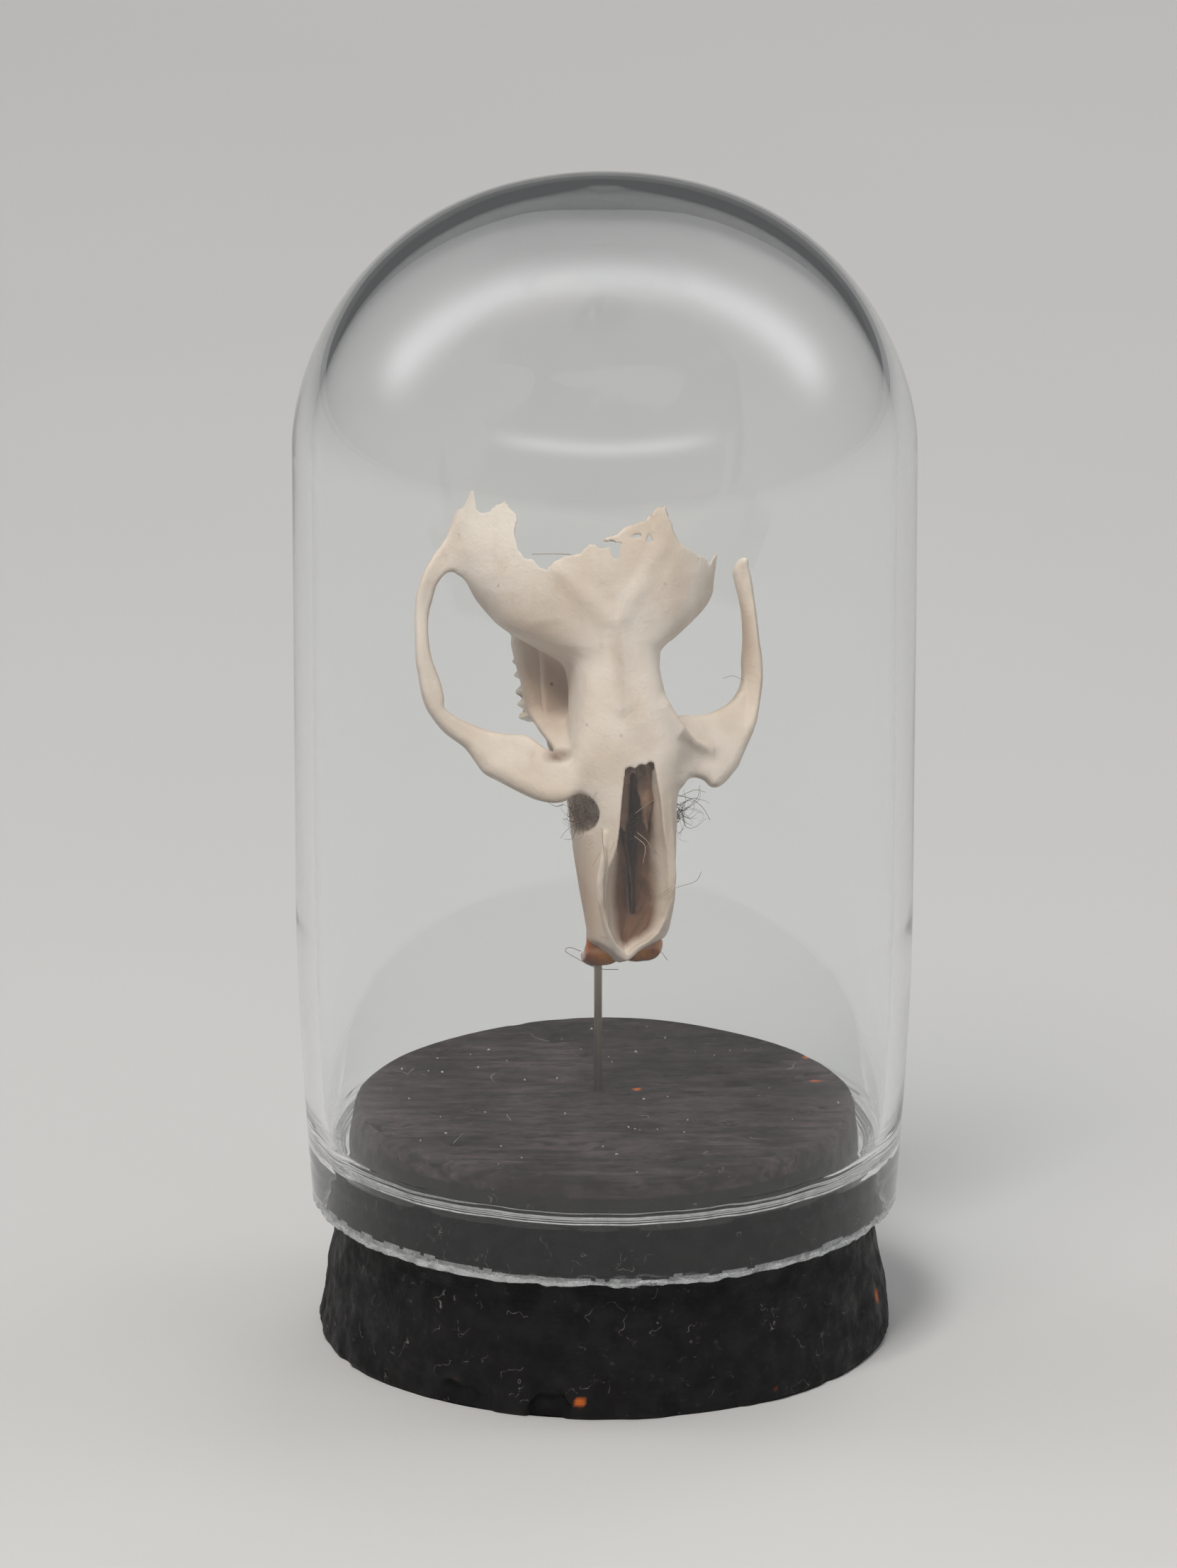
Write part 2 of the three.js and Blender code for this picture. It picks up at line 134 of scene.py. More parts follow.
def make_world():
    """A dim room with a soft band of light overhead, from side to side, and one in front."""
    world = bpy.data.worlds.new("studio")
    world.use_nodes = True
    tree = world.node_tree
    place = tree.nodes.new("ShaderNodeTexCoord")
    axes = tree.nodes.new("ShaderNodeSeparateXYZ")
    tree.links.new(place.outputs["Generated"], axes.inputs["Vector"])

    def math_node(operation, a, b=None):
        node = tree.nodes.new("ShaderNodeMath")
        node.operation = operation
        for socket, value in zip(node.inputs, (a, b)):
            if isinstance(value, (int, float)):
                socket.default_value = value
            elif value is not None:
                tree.links.new(value, socket)
        return node.outputs[0]

    def hump(value, centre, spread):
        """1 at a centre, falling away smoothly on both sides of it."""
        away = math_node("DIVIDE", math_node("SUBTRACT", value, centre), spread)
        return math_node("EXPONENT", math_node("MULTIPLY", math_node("MULTIPLY", away, away), -1))

    def step(value, low, high):
        node = tree.nodes.new("ShaderNodeMapRange")
        node.interpolation_type = "SMOOTHSTEP"
        node.inputs["From Min"].default_value = low
        node.inputs["From Max"].default_value = high
        tree.links.new(value, node.inputs["Value"])
        return node.outputs["Result"]

    x, y, z = axes.outputs
    overhead = math_node("MULTIPLY", hump(y, 0.2, 0.16), step(z, 0.22, 0.5))
    front = math_node("MULTIPLY", hump(z, 0.40, 0.05), step(y, -0.55, -0.85))
    front = math_node("MULTIPLY", front, 0.8)
    bands = math_node("MULTIPLY", math_node("ADD", overhead, front), BAND_LIGHT)
    room = math_node("ADD", bands, ROOM_LIGHT)
    background = tree.nodes["Background"]
    background.inputs["Color"].default_value = (0.97, 0.98, 1.0, 1)
    tree.links.new(room, background.inputs["Strength"])
    bpy.context.scene.world = world


# ---- Shader helpers ----


class Shader:
    """A material and short ways to add nodes to it."""

    def __init__(self, name):
        self.material = bpy.data.materials.new(name)
        self.material.use_nodes = True
        self.tree = self.material.node_tree
        self.surface = self.tree.nodes["Principled BSDF"]
        self.output = self.tree.nodes["Material Output"]
        self.place = self.add("ShaderNodeTexCoord").outputs["Object"]

    def add(self, kind, **settings):
        node = self.tree.nodes.new(kind)
        for key, value in settings.items():
            setattr(node, key, value)
        return node

    def link(self, start, end):
        self.tree.links.new(start, end)

    def set(self, **values):
        for key, value in values.items():
            self.surface.inputs[key.replace("_", " ")].default_value = value

    def stretched(self, scale):
        mapping = self.add("ShaderNodeMapping")
        mapping.inputs["Scale"].default_value = scale
        self.link(self.place, mapping.inputs["Vector"])
        return mapping.outputs["Vector"]

    def noise(self, per_metre, detail=4, rough=0.55, vector=None, distortion=0.0):
        node = self.add("ShaderNodeTexNoise")
        node.inputs["Scale"].default_value = per_metre
        node.inputs["Detail"].default_value = detail
        node.inputs["Roughness"].default_value = rough
        node.inputs["Distortion"].default_value = distortion
        self.link(vector or self.place, node.inputs["Vector"])
        return node.outputs["Fac"]

    def cells(self, per_metre):
        node = self.add("ShaderNodeTexVoronoi")
        node.inputs["Scale"].default_value = per_metre
        self.link(self.place, node.inputs["Vector"])
        return node.outputs["Distance"]

    def painted(self, name):
        return self.add("ShaderNodeAttribute", attribute_name=name).outputs["Fac"]

    def ramp(self, value, *stops):
        node = self.add("ShaderNodeMapRange", interpolation_type="SMOOTHSTEP")
        low, high, out_low, out_high = stops
        node.inputs["From Min"].default_value = low
        node.inputs["From Max"].default_value = high
        node.inputs["To Min"].default_value = out_low
        node.inputs["To Max"].default_value = out_high
        self.link(value, node.inputs["Value"])
        return node.outputs["Result"]

    def times(self, a, b):
        node = self.add("ShaderNodeMath", operation="MULTIPLY")
        self.link(a, node.inputs[0])
        self.link(b, node.inputs[1])
        return node.outputs[0]

    def mix(self, share, a, b):
        node = self.add("ShaderNodeMix", data_type="RGBA")
        self.link(share, node.inputs["Factor"])
        for socket, colour in ((node.inputs[6], a), (node.inputs[7], b)):
            if isinstance(colour, tuple):
                socket.default_value = (*colour, 1)
            else:
                self.link(colour, socket)
        return node.outputs[2]

    def colour(self, socket):
        self.link(socket, self.surface.inputs["Base Color"])

    def roughness(self, socket):
        self.link(socket, self.surface.inputs["Roughness"])

    def bump(self, height, depth_mm, strength=1.0, under=None):
        node = self.add("ShaderNodeBump")
        node.inputs["Strength"].default_value = strength
        node.inputs["Distance"].default_value = depth_mm * MM
        self.link(height, node.inputs["Height"])
        if under is not None:
            self.link(under, node.inputs["Normal"])
        self.link(node.outputs["Normal"], self.surface.inputs["Normal"])
        return node.outputs["Normal"]


# ---- Materials ----


def floor_material():
    s = Shader("pale_floor")
    mottle = s.noise(9, 3)
    s.colour(s.mix(mottle, (0.50, 0.495, 0.485), (0.54, 0.535, 0.525)))
    s.set(Roughness=0.7)
    s.bump(s.noise(1800, 2), 0.05, 0.3)
    return s.material


def cork_material():
    """Black paint over cork: streaks along the grain, a brown bloom on the top, scratches, and
    painted shade in the gashes.
    """
    s = Shader("painted_cork")
    grain = s.noise(320, 6, 0.62, s.stretched((0.35, 1.6, 1.0)), 0.6)
    streak = s.noise(1050, 5, 0.7, s.stretched((0.28, 1.5, 1.5)), 0.4)
    blotch = s.noise(140, 4, 0.5)
    top = s.painted("top")
    black = s.mix(grain, (0.003, 0.003, 0.0035), (0.011, 0.0095, 0.010))
    bloom = s.mix(s.ramp(blotch, 0.35, 0.65, 0, 1), (0.018, 0.0125, 0.0125), (0.058, 0.042, 0.043))
    brown = s.mix(s.ramp(streak, 0.40, 0.56, 0.75, 0), bloom, (0.005, 0.004, 0.004))
    brown = s.mix(s.ramp(streak, 0.57, 0.70, 0, 0.6), brown, (0.105, 0.080, 0.078))
    paint = s.mix(top, black, brown)
    # Fine curved scratches and fibres, where a noise passes through its middle value.
    curl = s.noise(420, 3, 0.5)
    line = s.times(s.ramp(curl, 0.493, 0.5, 0, 1), s.ramp(curl, 0.5, 0.507, 1, 0))
    few = s.times(s.ramp(s.noise(700, 2), 0.53, 0.60, 0, 1), s.ramp(streak, 0.42, 0.52, 0, 0.8))
    scratched = s.mix(s.times(line, few), paint, (0.15, 0.135, 0.125))
    worn = s.ramp(s.noise(1500, 4, 0.6), 0.60, 0.72, 0, 0.4)
    scuffs = s.times(worn, s.ramp(blotch, 0.45, 0.65, 0, 1))
    scuffed = s.mix(scuffs, scratched, (0.085, 0.072, 0.068))
    # Painted shade: the gashes in the top are coloured darker than the black paint, for the shade
    # inside them.
    gash_shaded = s.mix(s.painted("gash_shade"), scuffed, (0.0012, 0.001, 0.001))
    s.colour(s.mix(s.painted("bare"), gash_shaded, (0.42, 0.10, 0.018)))
    s.roughness(s.ramp(s.noise(600, 4, 0.6), 0.3, 0.7, 0.48, 0.80))
    coarse = s.bump(grain, 0.16, 0.8)
    fine = s.bump(streak, 0.12, 0.8, coarse)
    s.bump(s.noise(2600, 5, 0.6), 0.04, 0.8, fine)
    s.set(Specular_IOR_Level=0.32)
    return s.material


def glass_material():
    """Clear drawn glass. Rays from the lamps pass straight through, so the specimen is lit."""
    s = Shader("clear_glass")
    s.set(Base_Color=(0.975, 0.985, 0.985, 1), Roughness=0.0, IOR=1.47)
    s.set(Transmission_Weight=1.0)
    draw = s.noise(28, 3, 0.5, s.stretched((1.0, 1.0, 0.18)))
    s.bump(draw, 0.35, 0.3)
    lamps = s.add("ShaderNodeLightPath").outputs["Is Shadow Ray"]
    clear = s.add("ShaderNodeBsdfTransparent")
    clear.inputs["Color"].default_value = (0.93, 0.94, 0.94, 1)
    both = s.add("ShaderNodeMixShader")
    s.link(lamps, both.inputs["Fac"])
    s.link(s.surface.outputs["BSDF"], both.inputs[1])
    s.link(clear.outputs["BSDF"], both.inputs[2])
    s.link(both.outputs["Shader"], s.output.inputs["Surface"])
    return s.material


def ground_material():
    """The cut rim of the glass, ground rough: grey and half clear, with bright broken edges."""
    s = Shader("ground_glass")
    frost = s.noise(1500, 4, 0.65)
    crystal = s.cells(1100)
    s.colour(s.mix(frost, (0.45, 0.47, 0.47), (0.98, 0.99, 0.99)))
    s.roughness(s.ramp(frost, 0.4, 0.6, 0.04, 0.35))
    s.set(Transmission_Weight=0.72, IOR=1.47)
    s.bump(crystal, 0.35, 1.0, s.bump(frost, 0.25, 1.0))
    return s.material


def pin_material():
    s = Shader("drawn_steel")
    streak = s.noise(900, 3, 0.5, s.stretched((1.0, 1.0, 0.03)))
    s.colour(s.mix(streak, (0.15, 0.125, 0.10), (0.36, 0.31, 0.25)))
    s.roughness(s.ramp(streak, 0.3, 0.7, 0.22, 0.4))
    s.set(Metallic=1.0)
    s.bump(streak, 0.01, 0.5)
    return s.material


def glue_material():
    s = Shader("set_adhesive")
    cloud = s.noise(900, 3)
    s.colour(s.mix(cloud, (0.62, 0.50, 0.30), (0.78, 0.70, 0.52)))
    s.set(Roughness=0.18, Subsurface_Weight=0.3, Subsurface_Scale=0.001)
    s.bump(cloud, 0.05, 0.5)
    return s.material


def bone_material(name="dry_bone", light=(0.78, 0.685, 0.595), deep=(0.67, 0.545, 0.44)):
    """Dry cleaned bone: cream with warmer thick parts, painted staining, pores and fine grain, and
    painted shade in the nose, the snout's sides, the sockets' floor and a few hollows.
    """
    s = Shader(name)
    cloud = s.noise(170, 4, 0.55)
    veins = s.noise(520, 6, 0.65, s.stretched((1.0, 1.0, 0.55)), 0.8)
    cream = s.mix(s.ramp(cloud, 0.35, 0.7, 0, 1), light, deep)
    cream = s.mix(s.ramp(veins, 0.52, 0.75, 0, 0.35), cream, (0.58, 0.42, 0.30))
    speck = s.ramp(s.cells(1150), 0.0, 0.11, 1, 0)
    rare = s.ramp(s.noise(420, 2), 0.60, 0.66, 0, 0.8)
    cream = s.mix(s.times(speck, rare), cream, (0.22, 0.11, 0.055))
    # Warmer, darker bone: partly its own tone, partly painted shade in the snout and on the
    # sockets' floor.
    warm_and_shade = s.mix(s.painted("warm_and_shade"), cream, (0.43, 0.29, 0.20))
    # The dark brown for staining. It also carries the painted shade of the nose and of the
    # hollows.
    tan = s.mix(s.ramp(veins, 0.35, 0.65, 0, 1), (0.085, 0.038, 0.020), (0.21, 0.105, 0.058))
    s.colour(s.mix(s.painted("stain_and_shade"), warm_and_shade, tan))
    s.roughness(s.ramp(s.noise(700, 3), 0.3, 0.7, 0.33, 0.54))
    soft = s.bump(s.noise(650, 4, 0.5), 0.20, 0.6)
    s.bump(s.noise(4200, 4, 0.6), 0.05, 0.7, soft)
    s.surface.subsurface_method = "RANDOM_WALK"
    s.set(Subsurface_Weight=0.08, Subsurface_Scale=0.0006, Specular_IOR_Level=0.48)
    s.surface.inputs["Subsurface Radius"].default_value = (1.0, 0.55, 0.32)
    return s.material


def incisor_material():
    """Amber enamel in clouds of deeper and paler amber, with fine lengthwise streaks."""
    s = Shader("amber_enamel")
    streak = s.noise(2200, 4, 0.55, s.stretched((1.0, 0.25, 0.25)))
    cloud = s.noise(520, 3)
    amber = s.mix(s.ramp(cloud, 0.35, 0.68, 0, 1), (0.22, 0.048, 0.004), (0.60, 0.21, 0.018))
    s.colour(s.mix(s.ramp(streak, 0.4, 0.7, 0, 0.6), amber, (0.20, 0.045, 0.006)))
    s.set(Roughness=0.16, Coat_Weight=0.6, Coat_Roughness=0.08)
    s.set(Subsurface_Weight=0.2, Subsurface_Scale=0.0006)
    s.bump(streak, 0.02, 0.5)
    return s.material


def molar_material():
    s = Shader("cheek_tooth")
    cloud = s.noise(1300, 4)
    s.colour(s.mix(cloud, (0.46, 0.34, 0.22), (0.78, 0.70, 0.56)))
    s.set(Roughness=0.3, Coat_Weight=0.3)
    s.bump(s.noise(2600, 3), 0.03, 0.6)
    return s.material


def hair_material(name, dark, pale, rough=0.5):
    s = Shader(name)
    shade = s.noise(2400, 2)
    s.colour(s.mix(shade, dark, pale))
    s.set(Roughness=rough, Specular_IOR_Level=0.6)
    s.bump(s.noise(9000, 2), 0.005, 0.4)
    return s.material


# ---- Mesh helpers ----


def to_world(points, skull=False):
    """Millimetre points, in the skull's own frame if skull is set, as metres in the frame."""
    points = np.asarray(points, float)
    if skull:
        turn = np.array(SKULL_PLACE.to_3x3())
        points = points @ turn.T + np.array(SKULL_PLACE.translation)
    return points * MM


def add_piece(name, points, faces, material, body, skull=False):
    mesh = bpy.data.meshes.new(name)
    mesh.from_pydata(to_world(points, skull).tolist(), [], [list(map(int, f)) for f in faces])
    mesh.shade_smooth()
    mesh.materials.append(material)
    piece = bpy.data.objects.new(name, mesh)
    bpy.context.collection.objects.link(piece)
    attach(piece, body)
    return piece


def paint(piece, name, values):
    """Stores one number per vertex, which the piece's material reads."""
    layer = piece.data.attributes.new(name, "FLOAT", "POINT")
    layer.data.foreach_set("value", np.asarray(values, np.float32))


def turned_mesh(profile, around, displace=None):
    """A profile of (radius, height) points, from the axis to the axis, turned about Z."""
    profile = np.asarray(profile, float)
    angles = np.linspace(0, 2 * math.pi, around, endpoint=False)
    points, rings = [], []
    for radius, height in profile:
        if radius < 1e-6:
            rings.append([len(points)])
            points.append((0, 0, height))
            continue
        rings.append(range(len(points), len(points) + around))
        points += [(radius * math.cos(a), radius * math.sin(a), height) for a in angles]
    faces = []
    for low, high in zip(rings, rings[1:]):
        for i in range(around):
            j = (i + 1) % around
            if len(low) == 1:
                faces.append((low[0], high[j], high[i]))
            elif len(high) == 1:
                faces.append((low[i], low[j], high[0]))
            else:
                faces.append((low[i], low[j], high[j], high[i]))
    points = np.array(points)
    if displace is not None:
        points = displace(points)
    return points, faces


def noise(points, size, seed, octaves=3):
    """Smooth noise from -1 to 1 with features about size mm across."""
    shuffle = np.random.default_rng(seed).random(1 << 14).astype(np.float32)
    total, weight = 0.0, 0.0
    for octave in range(octaves):
        scaled = np.asarray(points, float) / size * 2**octave + 37.7 * octave
        cell = np.floor(scaled).astype(np.int64)
        part = scaled - cell
        part = part * part * (3 - 2 * part)
        value = 0.0
        for corner in range(8):
            step = np.array([corner >> 2 & 1, corner >> 1 & 1, corner & 1])
            node = cell + step
            key = (node[..., 0] * 73856093) ^ (node[..., 1] * 19349663) ^ (node[..., 2] * 83492791)
            share = np.where(step, part, 1 - part).prod(-1)
            value = value + share * shuffle[key & ((1 << 14) - 1)]
        total = total + (value * 2 - 1) * 0.5**octave
        weight += 0.5**octave
    return total / weight


def smooth_path(points, steps):
    """A smooth curve through the points, sampled evenly in its parameter."""
    points = np.asarray(points, float)
    padded = np.vstack([2 * points[0] - points[1], points, 2 * points[-1] - points[-2]])
    places = np.linspace(0, len(points) - 1, steps)
    first = np.minimum(places.astype(int), len(points) - 2)
    t = (places - first)[:, None]
    a, b, c, d = (padded[first + k] for k in range(4))
    return 0.5 * (
        2 * b
        + (c - a) * t
        + (2 * a - 5 * b + 4 * c - d) * t**2
        + (3 * b - a - 3 * c + d) * t**3
    )


def skin(rows, sides):
    """Quads over rows of points that each go round, with the last point next to the first."""
    faces = []
    for low in range(0, (rows - 1) * sides, sides):
        for i in range(sides):
            j = (i + 1) % sides
            faces.append((low + i, low + j, low + sides + j, low + sides + i))
    return faces


def tube_mesh(path, radii, sides=6):
    """A closed tube along a path."""
    path = np.asarray(path, float)
    radii = np.broadcast_to(np.asarray(radii, float), len(path))
    tangents = np.gradient(path, axis=0)
    tangents /= np.linalg.norm(tangents, axis=1)[:, None] + 1e-12
    side = np.cross((0.0, 1.0, 0.0), tangents)
    weak = np.linalg.norm(side, axis=1) < 1e-3
    side[weak] = np.cross((1.0, 0.2, 0.1), tangents[weak])
    side /= np.linalg.norm(side, axis=1)[:, None]
    deep = np.cross(tangents, side)
    angles = np.linspace(0, 2 * math.pi, sides, endpoint=False)
    rings = (
        path[:, None]
        + side[:, None] * (np.cos(angles)[None, :, None] * radii[:, None, None])
        + deep[:, None] * (np.sin(angles)[None, :, None] * radii[:, None, None])
    )
    points = rings.reshape(-1, 3)
    faces = skin(len(path), sides)
    faces.append(tuple(reversed(range(sides))))
    last = (len(path) - 1) * sides
    faces.append(tuple(range(last, last + sides)))
    return points, faces


def joined_mesh(parts):
    points, faces, start = [], [], 0
    for part_points, part_faces in parts:
        points.append(part_points)
        faces += [tuple(i + start for i in face) for face in part_faces]
        start += len(part_points)
    return np.vstack(points), faces


# ---- Cork ----


def polyline(corners, step):
    """Points about a step apart along straight runs between corners, corners kept."""
    points = [corners[0]]
    for start, end in zip(corners, corners[1:]):
        count = max(1, round(math.dist(start, end) / step))
        for i in range(1, count + 1):
            share = i / count
            points.append(tuple(a + (b - a) * share for a, b in zip(start, end)))
    return points


# Gashes in the cork's top: x, y, half length and half width.
TOP_GASHES = [
    (8.4, 2.6, 0.85, 0.5), (13.0, 3.9, 0.55, 0.6), (5.0, 0.9, 0.95, 0.2), (12.2, -2.7, 0.4, 0.35),
    (-1.2, 8.8, 0.5, 0.5), (-8.7, -8.8, 0.6, 0.5), (-14.0, -4.8, 0.5, 0.5),
    (13.4, -1.2, 1.5, 0.15),
]
# Chips that show the bare orange cork: place and size.
BARE_CHIPS = [
    (-1.5, -17.55, 1.1, 0.36), (16.9, -3.8, 3.0, 0.5), (13.3, 3.2, 14.9, 0.4),
    (13.0, 7.7, 14.9, 0.35), (2.0, 1.5, 14.9, 0.3),
]
# Pieces broken out of the bottom edge in front: x, half width and depth.
BOTTOM_CHIPS = [(-3.5, 1.4, 0.8), (6.4, 3.4, 0.45), (-9.0, 1.2, 0.3)]


def make_cork(material):
    edge = 0.4
    step = 0.22
    profile = polyline(
        [
            (0, 0),
            (CORK_BOTTOM_RADIUS - edge, 0),
            (CORK_BOTTOM_RADIUS - 0.1, edge),
            (CORK_TOP_RADIUS, CORK_TOP - edge * 0.7),
            (CORK_TOP_RADIUS - edge, CORK_TOP),
            (0, CORK_TOP),
        ],
        step,
    )
    around = 520

    def wear(points):
        radius = np.hypot(points[:, 0], points[:, 1])
        height = points[:, 2]
        side = np.clip(1 - np.abs(radius - (CORK_BOTTOM_RADIUS - CORK_TAPER * height)) / 0.6, 0, 1)
        outward = points * (1, 1, 0) / np.maximum(radius, 1e-6)[:, None]
        lumps = noise(points * (1, 1, 1.6), 4.0, 3) * 0.16 + noise(points, 0.9, 4) * 0.07
        uncovered = np.clip(RIM_HEIGHT - 0.3 - height, 0, 1)
        lumps = lumps * (1 + 0.9 * uncovered) - 0.1 - 0.08 * uncovered
        # Chips broken out of the bottom edge, and smaller ones round the top edge.
        low = np.clip(1 - height / 2.2, 0, 1)
        chips = np.clip(noise(points * (1, 1, 0.6), 2.6, 5, 2) - 0.12, 0, 1)
        for place, half, depth in BOTTOM_CHIPS:
            across = 1 - ((points[:, 0] - place) / half) ** 2
            across = across + 0.7 * noise(points * (1, 1, 1.5), 1.0, 14, 2)
            chips = chips + np.clip(across * 1.5, 0, 1) * depth * (points[:, 1] < 0)
        high = np.clip(1 - (CORK_TOP - height) / 0.8, 0, 1) * (radius > CORK_TOP_RADIUS - 1.2)
        nicks = np.clip(noise(points, 1.4, 6, 2) - 0.25, 0, 1)
        inward = (low * chips * 1.5 + high * nicks * 0.8) * side
        moved = points + outward * (lumps * side - inward)[:, None]
        moved[:, 2] += low * chips * side * 0.9 * (height > 0.01)
        # Open pores and gashes in the flat top, long across the grain. The shade in the gashes is
        # painted in the material.
        on_top = (height > CORK_TOP - 0.05) & (radius < CORK_TOP_RADIUS - edge - 0.05)
        pores = np.clip(noise(points * (0.45, 1.5, 1), 1.5, 7) - 0.34, 0, 1) * 1.6
        pores = np.clip(pores + gashes(points), 0, 0.6)
        ripple = noise(points * (0.5, 1.3, 1), 2.2, 8) * 0.05
        moved[:, 2] += np.where(on_top, ripple - 0.05 - pores, 0)
        return moved

    def gashes(points):
        """How deep the open gashes in the top are, from 0 to 1."""
        ragged = 0.35 * noise(points, 0.6, 12, 2)
        deep = np.zeros(len(points))
        for x, y, long, wide in TOP_GASHES:
            reach = np.hypot((points[:, 0] - x) / long, (points[:, 1] - y) / wide) + ragged
            deep = np.maximum(deep, np.clip(3.4 - 3 * reach, 0, 1))
        return deep * (points[:, 2] > CORK_TOP - 1)

    points, faces = turned_mesh(profile, around, wear)
    cork = add_piece("painted_cork", points, faces, material, "base")
    radius = np.hypot(points[:, 0], points[:, 1])
    paint(cork, "top", (points[:, 2] > CORK_TOP - 1.2) & (radius < CORK_TOP_RADIUS + 0.1))
    # How deep the gashes are also sets how much painted shade they get.
    paint(cork, "gash_shade", gashes(points))
    flecks = np.clip((noise(points, 0.8, 9, 2) - 0.66) * 9, 0, 1)
    low_edge = np.clip(1 - points[:, 2] / 3.0, 0.0, 1)
    bare = flecks * low_edge
    for x, y, z, size in BARE_CHIPS:
        reach = np.linalg.norm(points - (x, y, z), axis=1) / size + 0.3 * noise(points, 0.5, 13, 2)
        bare = np.maximum(bare, np.clip(3 - 3 * reach, 0, 1))
    paint(cork, "bare", np.clip(bare, 0, 1))
    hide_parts("cork_base")


# ---- Glass ----


def tube_outer_radius(height):
    below = max(0.0, DRAWN_IN_BELOW - height) / (DRAWN_IN_BELOW - RIM_HEIGHT)
    return TUBE_RADIUS - (TUBE_RADIUS - RIM_OUTER_RADIUS) * below**1.6


def crown_profile(wall, steps):
    profile = []
    for step in range(steps + 1):
        angle = math.pi / 2 * step / steps
        radius = (TUBE_RADIUS - wall) * math.cos(angle) ** 0.86 if step < steps else 0.0
        profile.append((radius, SHOULDER_HEIGHT + (CROWN_RISE - wall) * math.sin(angle) ** 1.1))
    return profile


def tube_radius_at(height):
    """The outer radius of the dome at every height, from the cut rim to the apex."""
    below = np.clip((DRAWN_IN_BELOW - height) / (DRAWN_IN_BELOW - RIM_HEIGHT), 0, 1)
    straight = TUBE_RADIUS - (TUBE_RADIUS - RIM_OUTER_RADIUS) * below**1.6
    rise = np.clip((height - SHOULDER_HEIGHT) / CROWN_RISE, 0, 1) ** (1 / 1.1)
    return straight * np.cos(np.arcsin(rise)) ** 0.86


def glass_profile():
    """One line: down the inside from the apex, out round the rim, and up the outside."""
    steps = 48
    inner = TUBE_RADIUS - TUBE_WALL
    inside = [(inner, z) for z in np.arange(SHOULDER_HEIGHT - 1, DRAWN_IN_BELOW, -1.0)]
    neck = smooth_path(
        [
            (inner, DRAWN_IN_BELOW),
            (inner - 0.12, 21.5),
            (inner - 0.42, 15.0),
            (LEDGE_INNER_RADIUS + 0.90, LEDGE_HEIGHT + 0.75),
            (LEDGE_INNER_RADIUS + 0.35, LEDGE_HEIGHT + 0.35),
            (LEDGE_INNER_RADIUS + 0.02, LEDGE_HEIGHT - 0.1),
            (LEDGE_INNER_RADIUS + 0.12, LEDGE_HEIGHT - 1.0),
            (RIM_INNER_RADIUS - 0.05, RIM_HEIGHT + 0.3),
        ],
        110,
    )
    rim = [
        (RIM_INNER_RADIUS + 0.1, RIM_HEIGHT + 0.1),
        (RIM_INNER_RADIUS + 0.45, RIM_HEIGHT),
        (RIM_INNER_RADIUS + 0.85, RIM_HEIGHT),
        (RIM_OUTER_RADIUS - 0.15, RIM_HEIGHT + 0.1),
    ]
    outside = [(tube_outer_radius(z), z) for z in np.arange(RIM_HEIGHT + 0.2, 10.5, 0.12)]
    outside += [(tube_outer_radius(z), z) for z in np.arange(10.5, 16, 0.25)]
    outside += [(tube_outer_radius(z), z) for z in np.arange(16, SHOULDER_HEIGHT, 1.0)]
    under = crown_profile(TUBE_WALL, steps)[::-1]
    lining = under + inside + [tuple(point) for point in neck]
    return lining + rim + outside + crown_profile(0, steps)


def make_glass(material, ground):
    around = 384

    def drawn(points):
        """The slow waves of hand drawn glass, tool marks at the neck and a rough cut rim."""
        radius = np.hypot(points[:, 0], points[:, 1])
        height = points[:, 2]
        outward = points * (1, 1, 0) / np.maximum(radius, 1e-6)[:, None]
        waves = noise(points * (1, 1, 0.5), 11, 21, 2) * 0.05 - 0.05
        waves = waves * np.clip(radius / 6, 0, 1)
        inner_skin = radius < tube_radius_at(height) - 0.5
        neck = np.exp(-(((height - LEDGE_HEIGHT - 0.5) / 0.8) ** 2)) * inner_skin
        around_wave = noise(outward * 9, 1.2, 22, 2)
        tooling = np.sin(radius * 26 + height * 9 + around_wave * 2.5) * 0.035 * neck
        collar = np.exp(-(((height - LEDGE_HEIGHT + 0.9) / 0.5) ** 2)) * ~inner_skin
        tooling = tooling + np.sin(height * 21 + around_wave) * 0.03 * collar
        cut = np.clip(1 - (height - RIM_HEIGHT) / 0.9, 0, 1) ** 2
        chips = noise(points, 0.55, 23, 2)
        moved = points + outward * (waves + tooling + cut * chips * 0.16)[:, None]
        big = np.clip(noise(outward * 18, 1.5, 25, 2), 0, 1)
        moved[:, 2] += cut * (noise(points, 0.45, 24, 2) * 0.16 + big * 0.35 + 0.1)
        return moved

    points, faces = turned_mesh(glass_profile(), around, drawn)
    glass = add_piece("drawn_glass", points, faces, material, "dome")
    glass.data.materials.append(ground)
    centres = np.array([face.center for face in glass.data.polygons]) / MM
    beside = np.abs(centres[:, 0]) / TUBE_RADIUS
    left = np.clip(-centres[:, 0] / TUBE_RADIUS, 0, 1)
    ragged = 0.22 * noise(centres, 0.7, 26, 2)
    ground_top = RIM_HEIGHT + GROUND_HEIGHT * (0.85 + 0.25 * beside + 0.6 * left) + ragged
    glass.data.polygons.foreach_set("material_index", (centres[:, 2] < ground_top).astype(int))
    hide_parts("glass_dome")


# ---- Pin and adhesive ----


